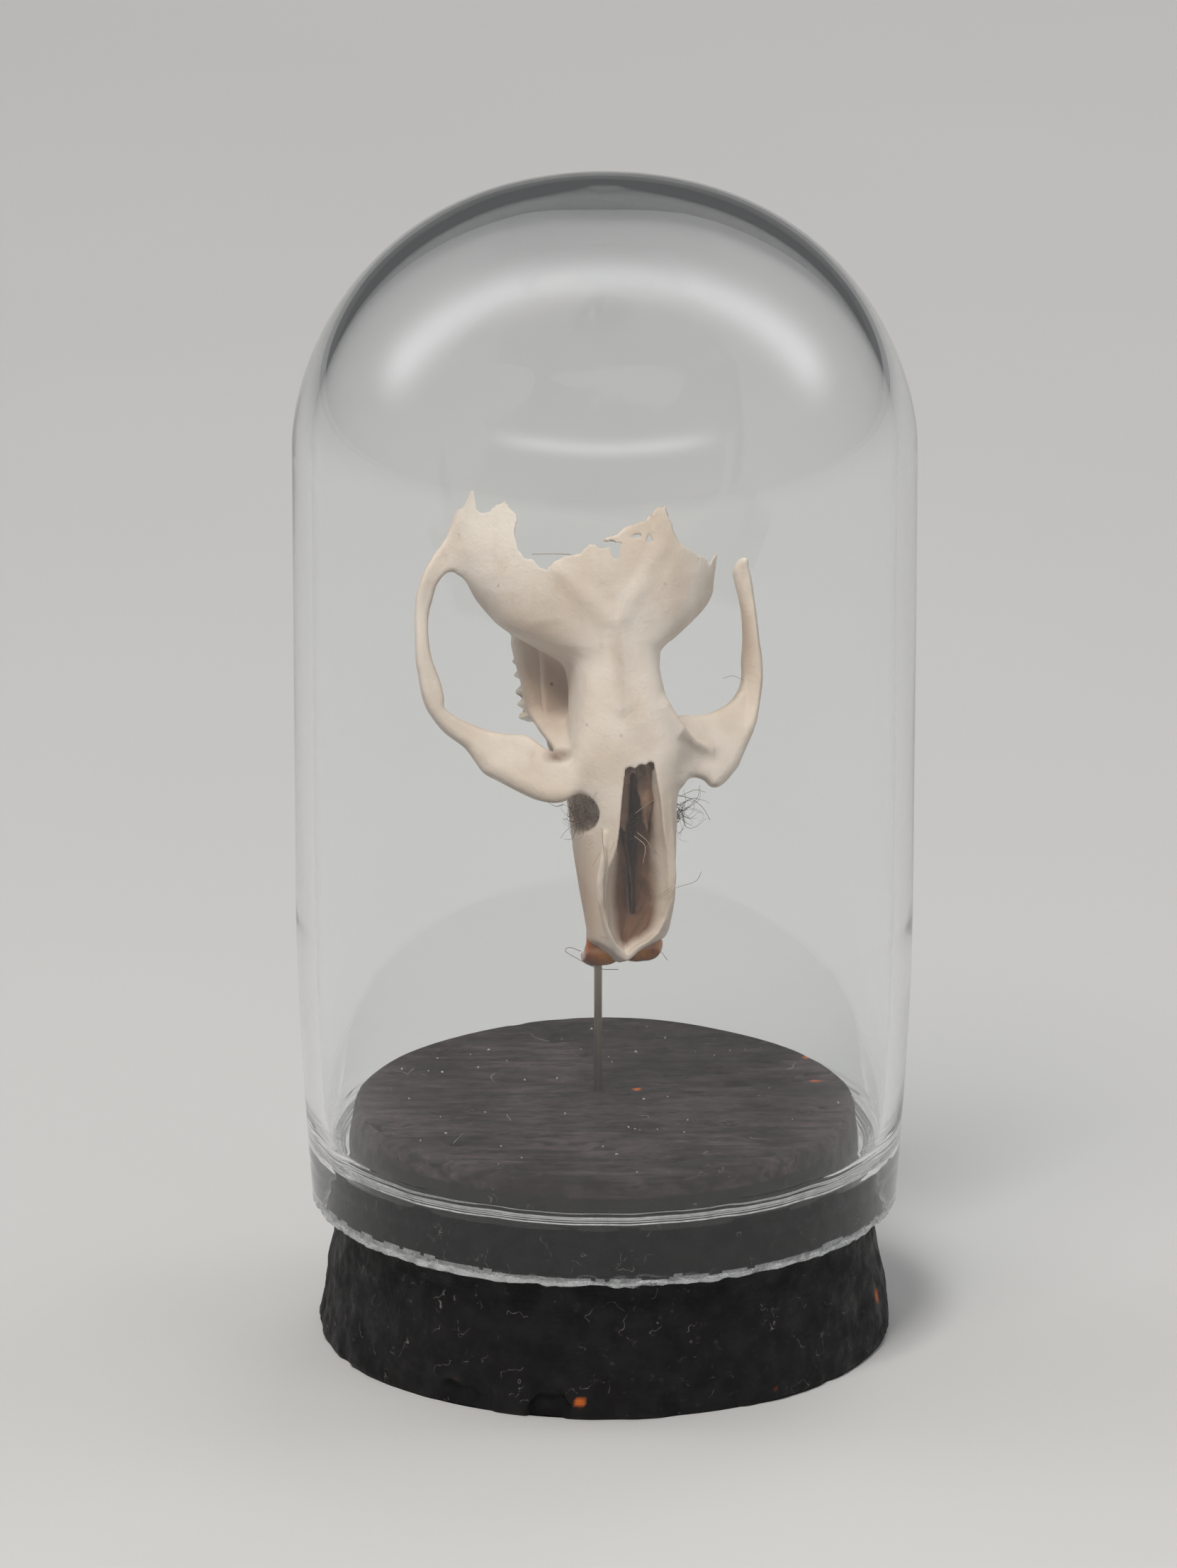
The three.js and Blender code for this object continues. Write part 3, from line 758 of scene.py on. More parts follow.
def make_pin(material):
    profile = [(0, PIN_BOTTOM), (0.03, PIN_BOTTOM + 0.1), (PIN_RADIUS, PIN_BOTTOM + 1.4)]
    profile += [(PIN_RADIUS, z) for z in np.linspace(PIN_BOTTOM + 2, PIN_TOP - 0.1, 20)]
    profile += [(PIN_RADIUS - 0.06, PIN_TOP), (0, PIN_TOP)]

    def drawn(points):
        return points * (1 + noise(points, 1.5, 31, 2)[:, None] * (0.02, 0.02, 0))

    points, faces = turned_mesh(profile, 24, drawn)
    pin = add_piece("steel_pin", points + (*PIN_AXIS, 0), faces, material, "pin")
    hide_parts("support_pin")


def make_glue(material):
    profile = [(0, -0.62), (0.3, -0.6), (0.56, -0.38), (0.68, 0), (0.6, 0.35), (0.36, 0.58)]
    profile.append((0, 0.62))

    def sagging(points):
        swell = 1 + noise(points, 0.9, 33, 2)[:, None] * 0.14
        return points * swell * (1.05, 0.95, 1)

    smooth = smooth_path([(r, z) for r, z in profile], 25)
    smooth[0][0] = smooth[-1][0] = 0
    points, faces = turned_mesh(smooth, 32, sagging)
    centre = (*PIN_AXIS, GLUE_HEIGHT)
    glue = add_piece("adhesive_drop", points + centre, faces, material, "skull")
    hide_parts("adhesive_bead")


# ---- The field of bone ----
# The skull's own frame: x towards the animal's left, y towards its palate, z from the tips of
# the incisors towards the braincase. A field is negative inside the bone, in millimetres.

VOXEL = 0.1
LOW = np.array([-12.8, -7.6, -0.6])
HIGH = np.array([11.2, 6.4, 30.6])
COUNT = np.ceil((HIGH - LOW) / VOXEL).astype(int)
X = (LOW[0] + VOXEL * np.arange(COUNT[0]))[:, None, None].astype(np.float32)
Y = (LOW[1] + VOXEL * np.arange(COUNT[1]))[None, :, None].astype(np.float32)
Z = (LOW[2] + VOXEL * np.arange(COUNT[2]))[None, None, :].astype(np.float32)


def along(place, stations, soft=0.35):
    """The value at places along a list of (place, value) stations, with softened corners."""
    fine = np.arange(-4, 34, 0.05)
    values = np.interp(fine, *zip(*stations))
    reach = np.arange(-60, 61) * 0.05
    weights = np.exp(-0.5 * (reach / soft) ** 2)
    values = np.convolve(np.pad(values, 60, mode="edge"), weights / weights.sum(), "valid")
    return np.interp(place, fine, values).astype(np.float32)


def union(a, b, soft):
    """The union of two fields, blended over a softness in millimetres."""
    share = np.clip(0.5 + 0.5 * (b - a) / soft, 0, 1)
    return b + (a - b) * share - soft * share * (1 - share)


def common(a, b, soft=0.0):
    return -union(-a, -b, soft) if soft else np.maximum(a, b)


def outline(points, rounded=False):
    """The signed distance to a closed outline of (x, z) points, the same at every depth."""
    points = np.asarray(points, float)
    if rounded:
        wrapped = np.vstack([points[-2:], points, points[:2]])
        steps = 5
        fine = smooth_path(wrapped, (len(wrapped) - 1) * steps + 1)
        points = fine[2 * steps : (len(points) + 2) * steps]
    px, pz = np.broadcast_arrays(X[:, 0], Z[0])
    best = np.full(px.shape, 1e9)
    inside = np.zeros(px.shape, bool)
    for (ax, az), (bx, bz) in zip(points, np.roll(points, -1, axis=0)):
        ex, ez = bx - ax, bz - az
        share = np.clip(((px - ax) * ex + (pz - az) * ez) / (ex * ex + ez * ez + 1e-12), 0, 1)
        best = np.minimum(best, (px - ax - share * ex) ** 2 + (pz - az - share * ez) ** 2)
        crosses = (az > pz) != (bz > pz)
        inside ^= crosses & (px < ax + ex * (pz - az) / (ez if ez else 1e-12))
    distance = np.where(inside, -1, 1) * np.sqrt(best)
    return distance[:, None, :].astype(np.float32)


def slab(plan, middle, half, rounding):
    """A plate that fills a plan, with its middle at a depth and with rounded edges."""
    rounding = np.minimum(rounding, half)
    across = plan + rounding
    deep = np.abs(Y - middle) - half + rounding
    outside = np.hypot(np.maximum(across, 0), np.maximum(deep, 0))
    return outside + np.minimum(np.maximum(across, deep), 0) - rounding


def rod(path, radii, squash=1.0):
    """A round rod along straight runs, with a radius at each point of its path."""
    field = None
    for (a, b), (ra, rb) in zip(zip(path, path[1:]), zip(radii, radii[1:])):
        ab = np.subtract(b, a)
        share = ((X - a[0]) * ab[0] + (Y - a[1]) * ab[1] + (Z - a[2]) * ab[2]) / ab.dot(ab)
        share = np.clip(share, 0, 1)
        dx, dy, dz = (axis - a[k] - share * ab[k] for k, axis in enumerate((X, Y, Z)))
        run = np.sqrt(dx**2 + (dy / squash) ** 2 + dz**2) - (ra + (rb - ra) * share)
        field = run if field is None else np.minimum(field, run)
    return field.astype(np.float32)


def ball(centre, radii):
    parts = ((axis - c) / r for axis, c, r in zip((X, Y, Z), centre, radii))
    reach = np.sqrt(sum(part**2 for part in parts))
    return ((reach - 1) * min(radii)).astype(np.float32)


def even(field):
    """Scales a field so that it grows by about one per millimetre near its surface."""
    slopes = np.gradient(field, VOXEL)
    return (field / np.maximum(np.sqrt(sum(s**2 for s in slopes)), 0.15)).astype(np.float32)


# Sections of the snout, waist and braincase at places along z.
AXIS_X = [(0, -0.25), (1.5, -0.2), (3, 0), (8, 0.1), (12, 0.1), (16, 0), (30, 0)]
HALF_WIDTH = [
    (0.2, 1.6), (1.0, 2.2), (1.8, 2.5), (3, 2.7), (5, 2.88), (8, 3.12), (10, 3.3), (11.5, 3.55),
    (12.5, 3.6), (13.5, 3.3), (14.5, 3.0), (16, 2.72), (17.4, 2.55), (18.4, 2.62), (18.9, 2.95),
    (19.3, 3.7), (19.8, 4.5), (20.3, 5.2), (20.9, 6.05), (21.6, 6.7), (22.3, 7.15), (23.2, 7.75),
    (24.3, 8.35), (26, 8.75), (30, 8.7),
]
ROOF = [
    (0, -0.6), (1, -1.3), (2, -2.5), (3, -3.3), (5, -4.3), (8, -4.95), (10, -5.2), (12, -5.4),
    (14.5, -5.55), (17.5, -5.5), (19.5, -5.7), (21, -6.0), (23, -6.25), (26, -6.2), (29, -5.8),
]
WIDEST = [
    (0, 0.6), (3, 0.5), (6, 0.3), (8, -0.3), (11, -1.6), (13, -2.3), (15, -2.9), (18, -3.1),
    (20, -2.4), (22, -1.4), (24, -0.7), (30, -0.3),
]
FLOOR = [
    (0, 1.2), (1.5, 2.1), (3, 2.7), (5, 3.2), (8, 3.6), (11, 3.5), (14, 2.9), (17, 2.7),
    (20, 3.2), (23, 3.8), (30, 4),
]
UPPER_POWER = [
    (0, 2.0), (8, 2.05), (10, 2.4), (12, 2.8), (17, 3.1), (19, 2.6), (21, 2.2), (30, 2.1),
]
LOWER_POWER = [(0, 2.2), (14, 2.5), (30, 2.1)]
# The broken outline of the roof, as seen from above the skull, from its right side round to its
# left. Below the eye sockets the plan is wider than the bone, which turns away by itself.
ROOF_PLAN = [
    (-10.5, -2), (-10.5, 24.2), (-8.95, 26.9), (-8.62, 27.9), (-8.2, 28.8), (-7.85, 29.55),
    (-7.62, 29.45), (-7.58, 28.9), (-7.62, 28.2), (-7.4, 27.95), (-7.05, 28.0), (-6.85, 28.2),
    (-6.6, 28.42), (-6.4, 28.36), (-6.05, 28.68), (-5.85, 28.0), (-5.55, 27.6), (-5.48, 27.1),
    (-5.7, 26.8), (-5.72, 26.2), (-5.6, 25.5), (-5.3, 25.0), (-5.03, 24.98), (-4.86, 24.9),
    (-4.6, 24.4), (-4.2, 24.25), (-3.76, 24.62), (-3.1, 24.88), (-2.2, 24.94), (-1.95, 25.2),
    (-1.7, 25.32), (-1.5, 25.5), (-1.3, 25.42), (-1.15, 25.5), (-0.9, 25.22), (-0.62, 25.15),
    (-0.36, 25.28), (-0.18, 25.2), (-0.2, 24.9), (-0.1, 24.45), (0.04, 24.42), (0.16, 24.7),
    (0.08, 25.3), (0.0, 25.42), (-0.3, 25.45), (-0.6, 25.42), (-0.72, 25.62), (-0.5, 25.84),
    (0.25, 25.98), (0.75, 26.2), (1.2, 26.24), (2.05, 26.4), (2.75, 26.95), (2.95, 27.22),
    (3.2, 27.2), (3.68, 27.34), (3.75, 26.5), (4.02, 25.8), (4.3, 25.1), (4.75, 24.75),
    (5.2, 24.5), (5.55, 24.22), (5.85, 24.18), (6.1, 24.0), (6.25, 23.6), (6.5, 24.0),
    (7.02, 24.5), (6.85, 23.4), (6.72, 22.6), (6.78, 22.0), (6.6, 21.4), (9.5, 21), (9.5, -2),
]
ROOF_HOLES = [
    [(1.1, 25.62), (1.4, 25.78), (1.85, 25.8), (1.7, 25.6), (1.3, 25.6)],
    [(2.1, 25.3), (2.3, 25.75), (2.5, 25.3), (2.3, 25.22)],
]
NOSE_PLAN = [
    (-3.4, 2.3), (-2.86, 1.85), (-2.6, 1.6), (-2.05, 1.24), (-1.6, 0.85), (-1.04, 0.27),
    (-0.73, 0.1), (-0.4, 0.28), (0.06, 0.68), (0.6, 0.92), (1.1, 1.1), (1.88, 1.35),
    (2.6, 1.9), (3.4, 2.6),
]
# The opening left by the lost nasal bones.
NOSE_OPENING = [
    (-0.7, 0.55), (-0.1, 1.0), (0.6, 1.3), (1.25, 1.75), (1.7, 2.5), (1.95, 3.6), (1.95, 5.2),
    (1.85, 6.5), (1.6, 7.75), (1.48, 9.6), (1.3, 11.1), (1.22, 11.85), (0.95, 11.95), (0.7, 11.75),
    (0.35, 11.85), (0.0, 11.6), (-0.3, 11.75), (-0.6, 11.65), (-0.92, 9.9), (-1.2, 8.0),
    (-1.4, 6.8), (-1.9, 5.8), (-2.25, 4.8), (-2.25, 3.56), (-1.95, 2.3), (-1.35, 1.25),
]
RIM_DEPTH = [(0, -0.5), (1, -1.0), (2, -1.9), (3, -2.6), (5, -3.5), (8, -4.3), (12, -5.0)]
NOSE_FLOOR = [(0, 0.0), (1.5, 0.5), (3, 1.3), (6, 1.8), (12, 1.8)]
NOSE_SLOPE = [(0, 0.42), (3, 0.4), (6, 0.34), (8, 0.16), (10, 0.08), (12, 0.05)]

# The cheek arches, as seen from above the skull: outside edge, then inside edge.
RIGHT_ARCH = [
    (-8.3, 28.0), (-9.34, 26.86), (-10.15, 26.0), (-10.75, 25.2), (-11.14, 24.4), (-11.4, 23.5),
    (-11.54, 22.4), (-11.68, 20), (-11.58, 18.8), (-11.42, 17.5), (-11.16, 16.67),
    (-10.65, 15.8), (-9.95, 15.0), (-9.0, 14.15), (-8.5, 13.2), (-8.05, 12.45), (-7.27, 11.85),
    (-6.27, 11.1), (-5.38, 10.5), (-4.66, 10.2), (-3.9, 10.2), (-3.2, 10.7), (-2.6, 11.6),
    (-2.2, 12.2), (-3.2, 12.5), (-4.0, 12.9), (-4.9, 13.9), (-5.5, 14.5), (-6.31, 14.69),
    (-7.36, 14.96), (-8.0, 15.25), (-9.13, 15.86), (-9.85, 16.39),
    (-10.18, 16.75), (-10.15, 17.3), (-10.27, 18.06), (-10.52, 18.92), (-10.77, 19.9),
    (-10.83, 21.0), (-10.78, 21.9), (-10.62, 22.7), (-10.36, 23.35), (-10.15, 24.0),
    (-9.8, 24.5), (-9.35, 24.85), (-8.87, 24.9), (-8.5, 24.75), (-7.6, 25.2), (-7.4, 27.2),
]
LEFT_ARCH = [
    (2.6, 14.2), (3.4, 14.6), (4.2, 14.75), (5.02, 14.71), (6.25, 14.78), (7.46, 15.12),
    (8.28, 15.6), (8.76, 16.17), (9.0, 16.8), (9.05, 17.7), (9.2, 18.9), (9.24, 20.2),
    (9.16, 21.5), (8.98, 22.6), (8.92, 23.35), (9.15, 23.85), (9.4, 24.02), (9.72, 23.95),
    (9.78, 23.4), (10.05, 22.4), (10.1, 21.0), (10.18, 18.9), (10.25, 17.8), (10.14, 16.55),
    (9.78, 15.1), (9.12, 13.5), (8.45, 12.45), (7.96, 11.75), (7.5, 11.2), (6.5, 10.4),
    (5.94, 10.15), (5.5, 10.25), (5.15, 10.62), (4.5, 10.85), (3.9, 10.75), (3.3, 10.6),
    (2.6, 11.2), (2.2, 12.8),
]
ARCH_MIDDLE = [
    (9.5, -0.3), (11, 0.3), (13, 0.6), (15, 0.8), (17, 0.6), (20, 0.2), (23, -0.1), (25, -0.7),
    (27, -1.0), (30, -1.3),
]
ARCH_HALF = [
    (9.5, 0.75), (11, 1.05), (13, 1.0), (15, 0.75), (17, 0.7), (20, 0.62), (23, 0.5),
    (25, 0.5), (27, 0.35), (30, 0.3),
]
LEFT_RIDGE = [
    (13, 8.9), (14.6, 9.4), (16.5, 9.85), (18.5, 9.85), (21, 9.8), (23.2, 9.6), (24, 9.5),
]
ROOT_RISE = [(2, 3.4), (3, 3.3), (4, 2.6), (5, 1.8), (6, 1.15), (7.5, 0.45), (9, 0.0), (12, 0.0)]
ARCH_ROUND = [(9.5, 0.7), (13, 0.8), (15, 0.45), (17, 0.4), (23, 0.36), (26, 0.3), (30, 0.2)]


def bone_field():
    centre = along(Z, AXIS_X)
    width = along(Z, HALF_WIDTH, 0.22)
    widest = along(Z, WIDEST, 0.8)
    roof = along(Z, ROOF, 0.7)
    floor = along(Z, FLOOR, 0.7)
    height = np.where(Y < widest, widest - roof, floor - widest)
    power = np.where(Y < widest, along(Z, UPPER_POWER), along(Z, LOWER_POWER))
    reach = np.abs((X - centre) / width) ** power + np.abs((Y - widest) / height) ** power
    hull = even(reach ** (1 / power) - 1)

    # Ridges: one along the midline of the waist, which forks over the braincase.
    crest = rod([(-0.55, -5.3, 15.5), (-0.5, -5.3, 18), (-0.45, -5.55, 20.6)], [0.1, 0.2, 0.25])
    fork_left = rod([(-0.45, -5.5, 20.4), (1.1, -5.7, 22.4), (2.9, -5.45, 24.9)], [0.2, 0.2, 0.1])
    fork_right = [(-0.5, -5.55, 20.4), (-1.9, -5.8, 22.2), (-3.4, -5.5, 24)]
    fork_right = rod(fork_right, [0.25, 0.25, 0.1])
    brow = [(2.4, -4.6, 15.2), (3.3, -4.3, 13.8), (4.4, -3.3, 12.9), (5.6, -2.2, 12.4)]
    brow = rod(brow, [0.25, 0.33, 0.2, 0.03])
    hull = union(hull, np.minimum(crest, np.minimum(fork_left, fork_right)), 0.9)
    hull = union(hull, brow, 0.8)
    keel = rod(
        [(-2.0, -3.9, 7.9), (-2.2, -3.6, 6.4), (-2.42, -3.0, 5.0), (-2.4, -2.5, 3.8),
         (-2.1, -1.8, 2.6), (-1.5, -1.1, 1.5), (-0.95, -0.6, 0.8)],
        [0.1, 0.2, 0.2, 0.18, 0.16, 0.14, 0.12],
    )
    right_keel = rod(
        [(2.1, -4.2, 9.5), (2.2, -3.6, 7), (2.25, -3.0, 5), (2.15, -2.4, 3.5), (1.7, -1.3, 2.0)],
        [0.1, 0.14, 0.16, 0.14, 0.1],
    )
    hull = union(hull, np.minimum(keel, right_keel), 0.35)

    plan = outline(ROOF_PLAN)
    thin = along(Z, [(0, 0.5), (12, 0.5), (18, 0.45), (22, 0.36), (25, 0.24), (30, 0.2)])
    edge_thin = np.clip(-plan / 1.2, 0.45, 1)
    inner = hull + thin * edge_thin

    # The snout is solid but for the open nose: its walls slope in to a narrow slit.
    rim = along(Z, RIM_DEPTH)
    depth = np.maximum(Y - rim, 0)
    opening = outline(NOSE_OPENING)
    trough = np.maximum(opening + along(Z, NOSE_SLOPE) * depth**1.5, Y - along(Z, NOSE_FLOOR))
    slit_half = along(Z, [(0, 0.1), (6, 0.14), (7.4, 0.4), (10, 0.42), (12, 0.2)])
    slit_ends = np.maximum(Y - 2.2, np.maximum(3.0 - Z, Z - 12))
    slit = np.maximum(np.abs(X - 0.2) - slit_half, slit_ends)
    trough = union(trough, np.maximum(slit, rim - Y), 0.3)
    behind_nose = 11.6 - Z + 0.25 * np.maximum(-4.6 - Y, 0)
    hollow = union(np.maximum(inner, behind_nose), trough, 0.35)
    shell = common(hull, -hollow, 0.12)

    # What is broken away: the top outline, the braincase's floor, and the nose's tip.
    shell = common(shell, plan, 0.1)
    for hole in ROOF_HOLES:
        shell = np.maximum(shell, -outline(hole))
    torn = along(Z, [(12, 6), (19.5, 6), (20.5, 2.6), (22, 1.9), (24, 0.8), (30, 0.4)])
    ragged = noise(np.stack(np.broadcast_arrays(X, 0, Z), -1), 1.3, 42, 2).astype(np.float32)
    side = np.clip((np.abs(X) - 3.5) / 3, 0, 1)
    shell = np.maximum(shell, Y - (torn - 1.6 * side + 0.35 * ragged))
    nose = outline(NOSE_PLAN + [(3.4, 31), (-3.4, 31)])
    nose = np.where(Z > 3.2, -1, nose)
    shell = common(shell, nose, 0.15)

    # Sockets' floor: the bone that holds the cheek teeth, which climbs to the arches' roots.
    floors = []
    climb = 1.65 * np.maximum(16.3 - Z, 0) ** 1.08
    for turn in (-1, 1):
        plan_floor = outline([
            (turn * 1.4, 12.4), (turn * 3.9, 12.6), (turn * 4.25, 15.8), (turn * 4.4, 18),
            (turn * 4.75, 20.4), (turn * 4.5, 22.4), (turn * 3.7, 23.4), (turn * 2.8, 23.2),
            (turn * 2.1, 22.0), (turn * 1.4, 20.5),
        ])
        tilt = 2.95 + 0.16 * np.abs(X) - 0.03 * (Z - 16)
        floors.append(slab(plan_floor, np.maximum(tilt - climb, -1.6), 0.75, 0.5))
    palate = slab(outline([
        (-1.9, 9.5), (1.9, 9.5), (2.8, 12), (3.6, 14.5), (3.3, 20), (2.5, 22.2), (1.4, 21.6),
        (0.6, 20.4), (-0.6, 20.3), (-1.5, 21.5), (-2.6, 22.2), (-3.3, 20), (-3.6, 14.5),
        (-2.8, 12),
    ], rounded=True), 2.9 - 0.05 * X**2 + 0 * Z, 0.34, 0.3)
    shell = union(shell, np.minimum(np.minimum(*floors), palate), 0.8)

    # Cheek arches with their broad front roots.
    arches = []
    for plan_points in (RIGHT_ARCH, LEFT_ARCH):
        middle = along(Z, ARCH_MIDDLE, 0.6) - along(np.abs(X), ROOT_RISE, 0.5)
        if plan_points is LEFT_ARCH:
            ridge = along(Z, LEFT_RIDGE, 0.5)
            facets = 0.9 * np.maximum(ridge - X, 0) + 1.2 * np.maximum(X - ridge, 0)
            fade = along(Z, [(13, 0), (15.5, 1), (30, 1)])
            middle = middle - 0.25 + np.minimum(facets, 0.65) * fade
        arch = slab(outline(plan_points, rounded=True), middle,
                    along(Z, ARCH_HALF), along(Z, ARCH_ROUND))
        arches.append(arch)
    arch = np.minimum(*arches)
    bone = union(shell, arch, 0.75)

    # The hollow in front of the left arch's root, the infraorbital openings, the foramina of the
    # palate, and the crevice between the right arch's root and the brow.
    bone = common(bone, -ball((4.7, -4.6, 11.4), (1.2, 1.5, 0.9)), 0.9)
    bone = common(bone, -ball((-2.8, -2.0, 9.45), (1.22, 2.0, 1.2)), 0.45)
    bone = common(bone, -ball((3.0, -1.6, 9.6), (0.9, 1.5, 1.1)), 0.3)
    for turn in (-1, 1):
        slot = rod([(turn * 0.95, 3.9, 4.4), (turn * 0.9, 4.2, 8.0)], [0.4, 0.4], 2.2)
        bone = common(bone, -slot, 0.15)
    crevice = [(-3.3, -3.4, 13.3), (-4.0, -2.8, 12.95), (-5.0, -2.2, 13.3)]
    bone = common(bone, -rod(crevice, [0.08, 0.24, 0.06]), 0.3)
    # Room for the roots of the incisors.
    for turn in (-1, 1):
        root = rod([(turn * 1.28 - 0.3, 1.6, 1.6), (turn * 1.28 - 0.3, 2.6, 0.8)], [0.8, 0.9])
        bone = np.maximum(bone, -root)
    return bone.astype(np.float32), trough, depth


def bone_regions(bone):
    """Cuts the field at its sutures, into one field for each bone.

    At a suture one bone laps over the other, which is let in under it by a hair's breadth.
    """
    pieces = {}
    lap = 1.6 * VOXEL
    sink = 0.02

    def split(field, by):
        """The part of a field where by is negative, and under its edge the rest."""
        over = np.maximum(field, by - lap)
        under = np.maximum(field + sink * np.clip(1.5 - by / (2 * lap), 0, 1), -by - lap)
        return over, under

    right_middle = np.maximum(X + 8.9, np.maximum(16.35 - Z - 0.5 * (X + 10.6),
                                                  Z - 23.0 - 0.6 * (X + 10.8)))
    pieces["jugal_right"], rest = split(bone, right_middle)
    left_middle = np.maximum(8.5 - X, 15.9 - Z + 0.35 * (X - 9.4))
    pieces["jugal_left"], rest = split(rest, left_middle)
    behind = np.maximum(20.5 - Z, 1.5 - Y)
    pieces["palatine"], rest = split(rest, behind)
    braincase = np.minimum(20.6 - Z, np.maximum(18.6 - Z, 3.7 - np.abs(X)))
    braincase = np.maximum(braincase, Y - 2.6)
    skull_cap, rest = split(rest, braincase)
    slant = np.clip(4.55 - 0.75 * (24.3 - Z), 2.6, 4.55)
    outer_wall = np.where(X < 0, slant, 5.6) - np.abs(X)
    walls, cap = split(skull_cap, outer_wall)
    pieces["squamosal_right"], pieces["squamosal_left"] = split(walls, X + 0 * Z)
    pieces["parietal_right"], pieces["parietal_left"] = split(
        cap, X + 1.6 * np.clip((Z - 25.3) / 0.15, 0, 1)
    )
    roof = np.maximum(np.maximum(11.3 - Z, Y + 1.7), np.abs(X) - 3.9)
    pieces["frontal_bone"], rest = split(rest, roof)
    wall = np.maximum(np.maximum(13.2 - Z, Y - 1.6), np.abs(X) - 3.2)
    walls, rest = split(rest, wall)
    pieces["orbitosphenoid_right"], pieces["orbitosphenoid_left"] = split(walls, X + 0 * Z)
    snout, rear = split(rest, Z - 7.6 - 0.25 * np.minimum(Y, 0))
    pieces["premaxilla_right"], pieces["premaxilla_left"] = split(snout, X - 0.08 + 0 * Z)
    pieces["maxilla_right"], pieces["maxilla_left"] = split(rear, X - 0.08 + 0 * Z)
    return pieces


def surface_of(field):
    """The zero surface of a field as points in millimetres and quads."""
    grid = openvdb.FloatGrid(float(3 * VOXEL))
    grid.copyFromArray(np.clip(field, -3 * VOXEL, 3 * VOXEL))
    points, quads = grid.convertToQuads(isovalue=0.0)
    return points * VOXEL + LOW, quads


def without_crumbs(points, quads, least=60):
    """Leaves out loose bits of fewer than least points."""
    label = np.arange(len(points))
    edges = np.vstack([quads[:, [0, 1]], quads[:, [1, 2]], quads[:, [2, 3]]])
    while True:
        low = np.minimum(label[edges[:, 0]], label[edges[:, 1]])
        before = label.copy()
        np.minimum.at(label, edges[:, 0], low)
        np.minimum.at(label, edges[:, 1], low)
        label = label[label]
        if (label == before).all():
            break
    size = np.bincount(label, minlength=len(points))[label]
    keep = size >= least
    quads = quads[keep[quads[:, 0]]]
    used = np.unique(quads)
    place = np.zeros(len(points), int)
    place[used] = np.arange(len(used))
    return points[used], place[quads]


def sample(field, points):
    """The value of a field at points, blended between its cells."""
    field = np.broadcast_to(field, tuple(COUNT))
    place = np.clip((points - LOW) / VOXEL, 0, COUNT - 1.001)
    cell = place.astype(int)
    part = place - cell
    total = 0.0
    for corner in range(8):
        step = np.array([corner >> 2 & 1, corner >> 1 & 1, corner & 1])
        i, j, k = (cell + step).T
        total = total + np.where(step, part, 1 - part).prod(1) * field[i, j, k]
    return total


def slopes(field, points):
    """The direction in which a field grows, at points, blended between its cells."""
    place = np.clip((points - LOW) / VOXEL, 1, COUNT - 2.001)
    cell = place.astype(int)
    part = place - cell
    total = np.zeros(points.shape)
    for corner in range(8):
        step = np.array([corner >> 2 & 1, corner >> 1 & 1, corner & 1])
        i, j, k = (cell + step).T
        share = np.where(step, part, 1 - part).prod(1)
        slope = np.stack([
            field[np.minimum(i + 1, COUNT[0] - 1), j, k] - field[i - 1, j, k],
            field[i, np.minimum(j + 1, COUNT[1] - 1), k] - field[i, j - 1, k],
            field[i, j, np.minimum(k + 1, COUNT[2] - 1)] - field[i, j, k - 1],
        ], 1)
        total += share[:, None] * slope
    return total / np.maximum(np.linalg.norm(total, axis=1), 1e-9)[:, None]


def patch(points, centre, radii):
    """1 at a centre, falling smoothly to 0 at the edge of an oval."""
    reach = np.sqrt((((points - np.array(centre)) / np.array(radii)) ** 2).sum(1))
    return np.clip(1.4 - 1.4 * reach, 0, 1)


